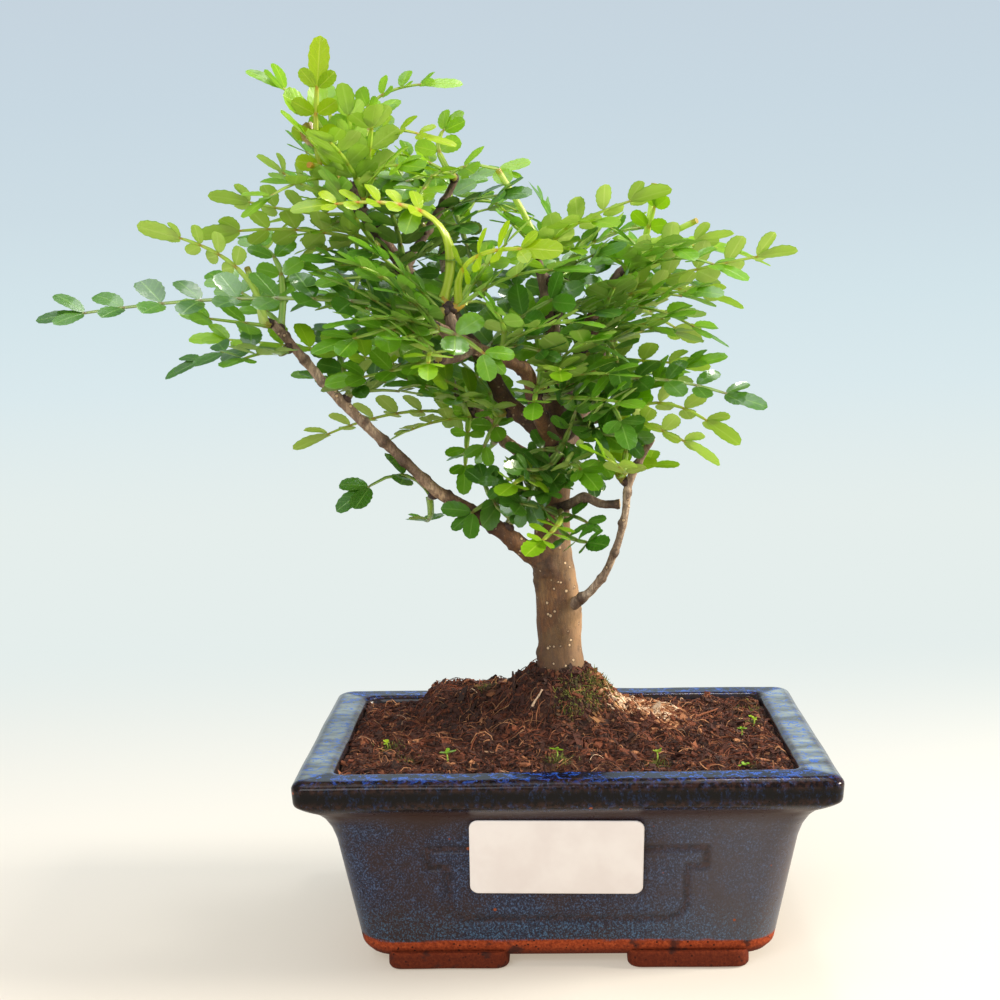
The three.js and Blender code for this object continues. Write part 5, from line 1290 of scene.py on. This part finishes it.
def soil_finish():
    """Dark red-brown peat with lighter fibres, a painted sunlit tan patch right of the trunk and green where moss
    grows.
    The tint of a bit holds how light, how dark and how green it is."""
    f = Finish("peat")
    light, dark, green, bit = f.tint()
    clod = f.noise(3.5, 5, 0.65)
    grain = f.noise(0.8, 4, 0.7)
    ground_colour = f.ramp(grain * 0.6 + clod * 0.4, (0.34, (22, 9, 4)), (0.48, (56, 28, 15)),
                           (0.6, (92, 54, 33)), (0.74, (142, 98, 68)))
    bit_colour = f.ramp(light, (0.0, (26, 10, 4)), (0.28, (60, 23, 9)), (0.52, (116, 56, 27)),
                        (0.75, (188, 132, 88)), (1.0, (240, 212, 178)))
    moss = f.mix(light, (48, 52, 14), (122, 124, 44))
    colour = f.coats(ground_colour, (bit, f.mix(grain.between(0.4, 0.7) * 0.4, bit_colour, (106, 55, 28))),
                     # dark: dark flakes at the trunk's foot and darker chips round the trunk and left of it,
                     # partly painted shade.
                     (dark * 0.85, (34, 20, 12)), (green * grain.between(0.25, 0.55), moss))
    relief = f.bump(grain, 0.8, 0.5)
    relief = f.bump(f.noise(0.3, 3, 0.7), 0.4, 0.2, relief)
    return f.done(f.solid(Base_Color=colour, Roughness=0.9, Normal=relief))


def soil_frames(x, y, sink):
    """Places on the soil with the upper way of the slope there."""
    step = 0.6
    slope_x = (soil_height(x + step, y) - soil_height(x - step, y)) / (2 * step)
    slope_y = (soil_height(x, y + step) - soil_height(x, y - step)) / (2 * step)
    normal = unit(np.stack([-slope_x, -slope_y, np.ones_like(x)], -1))
    return np.stack([x, y, ground(x, y) - sink], -1), normal


def scattered(count, clear=8.5):
    """Random places on the soil, none under the trunk."""
    x = chance.uniform(-SOIL_HALF[0] + 0.8, SOIL_HALF[0] - 0.8, count)
    y = chance.uniform(-SOIL_HALF[1] + 0.8, SOIL_HALF[1] - 0.8, count) + POT_Y
    keep = np.hypot(x + 1, y - 10) > clear
    return x[keep], y[keep]


def patch_share(x, y, places):
    """How far a place belongs to any of some round patches, given as (x, y, reach)."""
    return np.max([np.exp(-((x - a) ** 2 + (y - b) ** 2) / reach**2) for a, b, reach in places], axis=0)


# Painted sunlight: round patches right of the trunk where chips and fibres are lighter.
SUNLIT_PATCH = [(20, 17, 10), (28, 9, 9), (15, 8, 7), (30, 24, 9)]
# Darker chips round the trunk's foot, partly painted shade there, and on the soil left of the trunk by the old
# root ball, painted shade.
DARK_AND_SHADED_PATCH = [(-1, 10, 13), (-30, 14, 8)]
MOSS_PATCH = [(5, -1, 6), (9, 2, 5), (2, -4, 4.5), (12, 6, 4), (60, 30, 6), (58, 12, 3), (-52, -14, 4),
              (-46, -26, 3.5), (-2, -31, 4), (26, -31, 4), (51, -34, 3), (-24, 26, 5)]


def add_chips(skin, place, normal, long, light, dark, green):
    """Flat splinters and crumbs: boxes with their corners pushed about, each lying on its slope."""
    n = len(place)
    along = unit(chance.normal(size=(n, 3)))
    along = unit(along - dot(along, normal) * normal + normal * chance.normal(0, 0.28, n)[:, None])
    side = unit(np.cross(normal, along))
    over = np.cross(along, side)
    size = np.stack([long, long * chance.uniform(0.22, 0.6, n), chance.uniform(0.25, 0.8, n)], -1) / 2
    size = np.minimum(size, [3.2, 1.1, 0.5])
    corner = np.array([[sx, sy, sz] for sx in (-1, 1) for sy, sz in ((1, -1), (1, 1), (-1, 1), (-1, -1))])
    jitter = corner + chance.uniform(-0.35, 0.35, (n, 8, 3))
    local = jitter * size[:, None]
    points = (place[:, None] + along[:, None] * local[..., :1] + side[:, None] * local[..., 1:2]
              + over[:, None] * (local[..., 2:] + size[:, None, 2:]))
    box = np.array([[0, 1, 5, 4], [1, 2, 6, 5], [2, 3, 7, 6], [3, 0, 4, 7], [3, 2, 1, 0], [4, 5, 6, 7]])
    add_forms(skin, points, box, 0.5, np.stack([light, dark, green, np.ones(n)], -1))


def add_bits(skin, count):
    """Bark chips over the whole ground: lighter in the painted sunlit patch right of the trunk, darker round the
    trunk's foot (partly painted shade) and darker by the old root ball on the left (painted shade).
    """
    x, y = scattered(count)
    place, normal = soil_frames(x, y, 0.05)
    n = len(x)
    # Painted sunlight: dry here is the share of the sunlit patch, where chips are lighter and none are dark.
    dry = patch_share(x, y, SUNLIT_PATCH)
    light = np.clip(chance.beta(1.5, 3.2, n) * 0.8 + dry * chance.uniform(0.4, 1, n), 0, 1)
    # Chips darken in the dark and shaded patches: partly painted shade.
    dark = np.clip(patch_share(x, y, DARK_AND_SHADED_PATCH) * chance.uniform(0, 1.2, n), 0, 1) * (dry < 0.4)
    green = patch_share(x, y, MOSS_PATCH) * 0.6 * (chance.random(n) < 0.5)
    add_chips(skin, place, normal, chance.gamma(2.0, 0.62, n) + 0.45, light, dark, green)


def add_foot_flakes(skin, count):
    """Dark flakes of old root and bark, and moss on the front right, that cover the trunk's flaring foot."""
    angle = chance.uniform(0, 2 * np.pi, count)
    height = 71 + 8 * chance.beta(1.0, 1.7, count)
    rows = np.array(WOOD["trunk"])
    radius = np.interp(height, rows[:, 2], rows[:, 3]) + 0.35 + 0.5 * (height < 75) * (75 - height)
    out = np.stack([np.cos(angle), np.sin(angle), 0 * angle], -1)
    place = np.stack([TRUNK_X + radius * out[:, 0], TRUNK_Y + radius * out[:, 1], height], -1)
    normal = unit(out + [0, 0, 0.35] + chance.normal(0, 0.35, (count, 3)))
    moss = smooth(-0.2, 0.6, out @ np.array([0.55, -0.83, 0])) * smooth(77, 70, height)
    add_chips(skin, place, normal, chance.gamma(2.0, 0.5, count) + 0.5, chance.beta(2, 3, count) * 0.8,
              chance.uniform(0.2, 1, count) * (1 - 0.5 * moss), moss * (chance.random(count) < 0.75))


def add_threads(skin, path, side, over, radius, tint):
    """Three-sided threads along paths: middle plus radius times the side way turned to each corner."""
    turn = (np.arange(3) * 2 * np.pi / 3)[:, None]
    rings = path[:, :, None] + radius * (side * np.cos(turn) + over * np.sin(turn))
    points = np.concatenate([rings.reshape(len(path), -1, 3), rings[:, [0, -1]].mean(2)], 1)
    add_forms(skin, points, ring_faces(path.shape[1], 3), 0.5, tint)


def add_fibres(skin, count):
    """Thin bent fibres: three-sided threads along a short curved path that rests on the slope."""
    x, y = scattered(count)
    n, steps = len(x), 6
    angle = chance.uniform(0, 2 * np.pi, n)[:, None]
    bend = chance.normal(0, 0.9, n)[:, None]
    t = np.linspace(-0.5, 0.5, steps)
    long = (chance.gamma(2.5, 1.5, n) + 1.5)[:, None]
    px = x[:, None] + long * t * np.cos(angle + bend * t)
    py = y[:, None] + long * t * np.sin(angle + bend * t)
    px = np.clip(px, -SOIL_HALF[0] + 0.4, SOIL_HALF[0] - 0.4)
    py = np.clip(py, -SOIL_HALF[1] + 0.4 + POT_Y, SOIL_HALF[1] - 0.4 + POT_Y)
    pz = ground(px, py) + 0.35 + (chance.random(n)[:, None] * 1.3) * (0.25 - t**2) * 4
    path = np.stack([px, py, pz], -1)
    way = unit(np.gradient(path, axis=1))
    side = unit(np.cross(way, UP))
    over = np.cross(side, way)
    radius = (chance.uniform(0.07, 0.17, n)[:, None] * (1.1 - 1.2 * t**2))[..., None, None]
    # Painted sunlight: fibres are lighter in the sunlit patch.
    light = np.clip(chance.beta(1.6, 2.4, n) * 0.9 + 0.35 * patch_share(x, y, SUNLIT_PATCH), 0, 1)
    tint = np.stack([light, 0.5 * (chance.random(n) < 0.12), 0 * light, np.ones(n)], -1)
    add_threads(skin, path, side[:, :, None], -over[:, :, None], radius, tint)


def add_moss(skin, count):
    """Moss: short three-sided blades that stand up from the moss patches, each thinning to its tip."""
    place_of = chance.integers(0, len(MOSS_PATCH), count)
    a, b, reach = np.array(MOSS_PATCH, float)[place_of].T
    x, y = a + chance.normal(0, 0.45, count) * reach, b + chance.normal(0, 0.45, count) * reach
    keep = (np.hypot(x + 1, y - 10) > 9) & (np.abs(x) < 63.5) & (np.abs(y - POT_Y) < 42.5)
    x, y = x[keep], y[keep]
    n = len(x)
    foot, normal = soil_frames(x, y, 0.3)
    way = unit(normal + chance.normal(0, 0.38, (n, 3)))
    bend = chance.normal(0, 0.35, (n, 3))
    long = chance.uniform(0.8, 1.9, n)[:, None]
    path = np.stack([foot + long * (way * t + bend * t * t) for t in (0, 0.4, 0.75, 1)], 1)
    side = unit(np.cross(way, chance.normal(size=(n, 3))))
    over = np.cross(way, side)
    radius = np.array([0.16, 0.20, 0.14, 0.04])[:, None, None]
    tint = np.stack([chance.uniform(0.2, 0.9, n), 0 * x, np.ones(n) * 1.6, np.ones(n)], -1)
    add_threads(skin, path, side[:, None, None], over[:, None, None], radius, tint)


STICKS = [([-10.5, -4.5], [-6.5, -3.0], 6.5, 0.42, 0.9), ([-15, 3.5], [-15.5, 3.0], 8.5, 0.5, 0.02),
          ([24, -8], [34, -5], 1.6, 0.4, 0.75), ([-30, -18], [-21, -22], 1.2, 0.45, 0.8),
          ([-52, -8], [-43, -3], 1.4, 0.35, 0.7), ([40, 14], [49, 20], 1.8, 0.35, 0.55)]


def add_sticks(skin):
    """Bits of twig: thin tapering tubes, each from a place in the soil to another at some height over it."""
    for start, end, rise, radius, light in STICKS:
        t = np.linspace(0, 1, 9)[:, None]
        flat = np.array(start) * (1 - t) + np.array(end) * t
        lift = -0.6 + (rise + 0.6) * t[:, 0] + 0.3 * np.sin(5 * t[:, 0])
        height = ground(flat[:1, 0], flat[:1, 1]) + lift
        path = np.column_stack([flat, height])
        rings, ways = tube(path, radius * (1.1 - 0.5 * t[:, 0]), 7)
        rings += ways * (0.12 * rough(rings, 0.9, 83))[..., None]
        add_rings(skin, rings, (light, 0, 0, 1))


SEEDLINGS = [(-34.7, -29.7, 4.2), (-53.7, -13.1, 2.4), (-3, -28.9, 2.8), (25.8, -28.9, 3.4), (50.2, -32.9, 2.2),
             (57.9, 5.2, 2.6), (52.8, -6.2, 2.4)]


def make_seedlings(finishes):
    """Weed seedlings: a thin stem and, at its top, two pairs of small rounded leaves."""
    skin = Skin()
    for index, (x, y, tall) in enumerate(SEEDLINGS):
        foot = np.array([x, y, float(ground(np.array([x]), np.array([y]))[0]) - 0.6])
        t = np.linspace(0, 1, 6)[:, None]
        path = foot + [0.5, -0.2, tall + 0.6] * t + [0.5, 0.2, 0] * np.sin(3 * t)
        rings, _ = tube(path, 0.24 - 0.06 * t[:, 0], 6)
        add_rings(skin, rings, (0.6, 0, 1, 0), 0)
        angle = 1.7 * index + np.array([0, 2.7, 1.3, 4.2])
        out = unit(np.stack([np.cos(angle), np.sin(angle), np.array([0.5, 0.2, 1.1, 0.7])], -1))
        up = unit(UP - out[:, 2:] * out)
        long = np.array([1, 0.85, 0.7, 0.55]) * (1.2 + 0.4 * tall)
        fold, curl, shade, dry = np.repeat([[0.2], [0.15], [0.7], [0.0]], 4, 1)
        add_leaflets(skin, np.repeat(path[-1:], 4, 0), out, up, long, long * 0.62, fold, curl, shade, dry,
                     index % 2)
    skin.build("seedlings", finishes, slot="leaf_light")


def make_soil_bits(finish):
    bits, fibres = Skin(), Skin()
    add_moss(fibres, 1700)
    add_sticks(fibres)
    add_bits(bits, 11500)
    add_foot_flakes(bits, 1000)
    add_fibres(fibres, 3400)
    bits.build("soil_bits", [finish], slot="soil", rounded=False)
    fibres.build("soil_fibres", [finish], slot="soil", rounded=False)


# Card.
CARD_HALF = [24.5, 12]
CARD_IN, CARD_HIGH = (12.6, 6.7), (24, 46.9)
CARD_MIDDLE = np.array([-3, POT_Y + sum(CARD_IN) / 2 - RIM_HALF[1], sum(CARD_HIGH) / 2])
CARD_RISE = unit(np.array([0, CARD_IN[1] - CARD_IN[0], CARD_HIGH[1] - CARD_HIGH[0]]))


def make_card(finish):
    """The blank card: rounded rectangles stacked from its back over the eased edge to the middle of its face."""
    rows = np.array([[12, 0], [0.5, 0], [0.12, 0.03], [0, 0.15], [0, 0.45], [0.12, 0.57], [0.5, 0.6],
                     [11.5, 0.6]])
    ring = rounded_frame(CARD_HALF - np.minimum(rows[:, :1], 11.5), np.maximum(2.5 - rows[:, 0], 0.2), 40, 20, 8)
    angle = np.radians(-0.8)
    ring = ring @ np.array([[np.cos(angle), np.sin(angle)], [-np.sin(angle), np.cos(angle)]])
    across = np.array([1.0, 0, 0])
    outward = np.cross(across, CARD_RISE)
    points = (CARD_MIDDLE + ring[..., :1] * across + ring[..., 1:] * CARD_RISE + rows[:, None, 1:] * outward)
    skin = Skin()
    add_rings(skin, points, sharp_ends=False)
    skin.build("card_blank", [finish], "card_label", "card")


def card_finish():
    """Cream card: a faint cloud and the fine tooth of matt paper."""
    f = Finish("cream_card")
    cloud = f.noise(14, 3, 0.6)
    tooth = f.noise(0.25, 2, 0.6)
    colour = f.mix(cloud.between(0.3, 0.7), (218, 206, 198), (226, 216, 208))
    colour = f.mix(tooth.between(0.6, 0.8) * 0.15, colour, (198, 184, 172))
    return f.done(f.solid(Base_Color=colour, Roughness=0.42 + 0.1 * cloud, Normal=f.bump(tooth, 0.25, 0.02)))


make_pot(glaze_finish())
make_card(card_finish())
make_wood(bark_finish(), cut_wood_finish())
peat = soil_finish()
make_soil(peat)
make_soil_bits(peat)
make_foliage()


# Floor, backdrop and light.
def make_stage():
    """A pale floor that sweeps up behind into a backdrop: flat, then a quarter circle, then a wall."""
    t = np.linspace(0, 1, 60)
    bend = np.clip((t - 0.3) / 0.4, 0, 1) * np.pi / 2
    run = np.where(t < 0.3, -3 + t / 0.3 * 3.9, 0.9 + 0.8 * np.sin(bend))
    rise = np.where(t < 0.3, 0, 0.8 * (1 - np.cos(bend)) + np.clip((t - 0.7) / 0.3, 0, 1) * 1.6)
    x = np.linspace(-3.2, 3.2, 12)
    points = np.stack(np.broadcast_arrays(x, run[:, None], rise[:, None] - 0.0002), -1)
    low = (np.arange(59)[:, None] * 12 + np.arange(11)).ravel()
    mesh = bpy.data.meshes.new("floor")
    faces = np.stack([low, low + 1, low + 13, low + 12], 1)
    mesh.from_pydata(points.reshape(-1, 3).tolist(), [], faces.tolist())
    mesh.polygons.foreach_set("use_smooth", np.ones(len(mesh.polygons), bool))
    f = Finish("pale_floor")
    _, y, z = f.places()
    sky = f.ramp(z, (0.0, (229, 238, 236)), (0.10, (218, 233, 237)), (0.20, (211, 228, 234)),
                 (0.31, (205, 221, 229)), (0.45, (200, 216, 226)), (0.62, (197, 211, 222)),
                 (0.85, (128, 140, 150)), (1.0, (108, 118, 128)))
    far = y.between(-0.12, 0.42)
    colour = f.mix(far, (172, 168, 162), (0, 0, 0))
    glow = f.mix(far, (162, 148, 128), sky)
    surface = f.solid(Base_Color=colour, Roughness=0.85, Emission_Color=glow, Emission_Strength=1.0,
                      Specular_IOR_Level=0.0)
    mesh.materials.append(f.done(surface))
    link(bpy.data.objects.new("floor", mesh))


def add_lamp(name, place, aim, size, power, colour, gloss=1.0):
    data = bpy.data.lights.new(name, "AREA")
    data.shape, data.size, data.size_y = "RECTANGLE", *size
    data.energy, data.color, data.specular_factor = power, srgb(*colour), gloss
    lamp = link(bpy.data.objects.new(name, data))
    lamp.location = place
    lamp.rotation_euler = (Vector(aim) - Vector(place)).to_track_quat("-Z", "Y").to_euler()


def make_light():
    world = bpy.data.worlds.new("room")
    world.use_nodes = True
    sky_light = world.node_tree.nodes["Background"]
    sky_light.inputs["Color"].default_value = (*srgb(226, 236, 244), 1)
    sky_light.inputs["Strength"].default_value = 0.6
    bpy.context.scene.world = world
    add_lamp("sun_side", (1.05, -0.05, 0.56), (0, 0, 0.13), (0.34, 0.34), 26, (255, 246, 230))
    add_lamp("leaf_glint", (0.16, 0.30, 1.15), (0, 0, 0.15), (0.13, 0.13), 2.6, (255, 252, 244))
    add_lamp("front_fill", (-0.45, -1.1, 0.75), (0, 0, 0.12), (0.9, 0.7), 12, (244, 249, 255), 0.1)
    add_lamp("overhead", (-0.05, 0.1, 1.25), (0, 0, 0.1), (1.1, 0.9), 9, (245, 250, 255))
    bpy.context.scene.view_settings.view_transform = "Standard"


make_stage()
make_light()
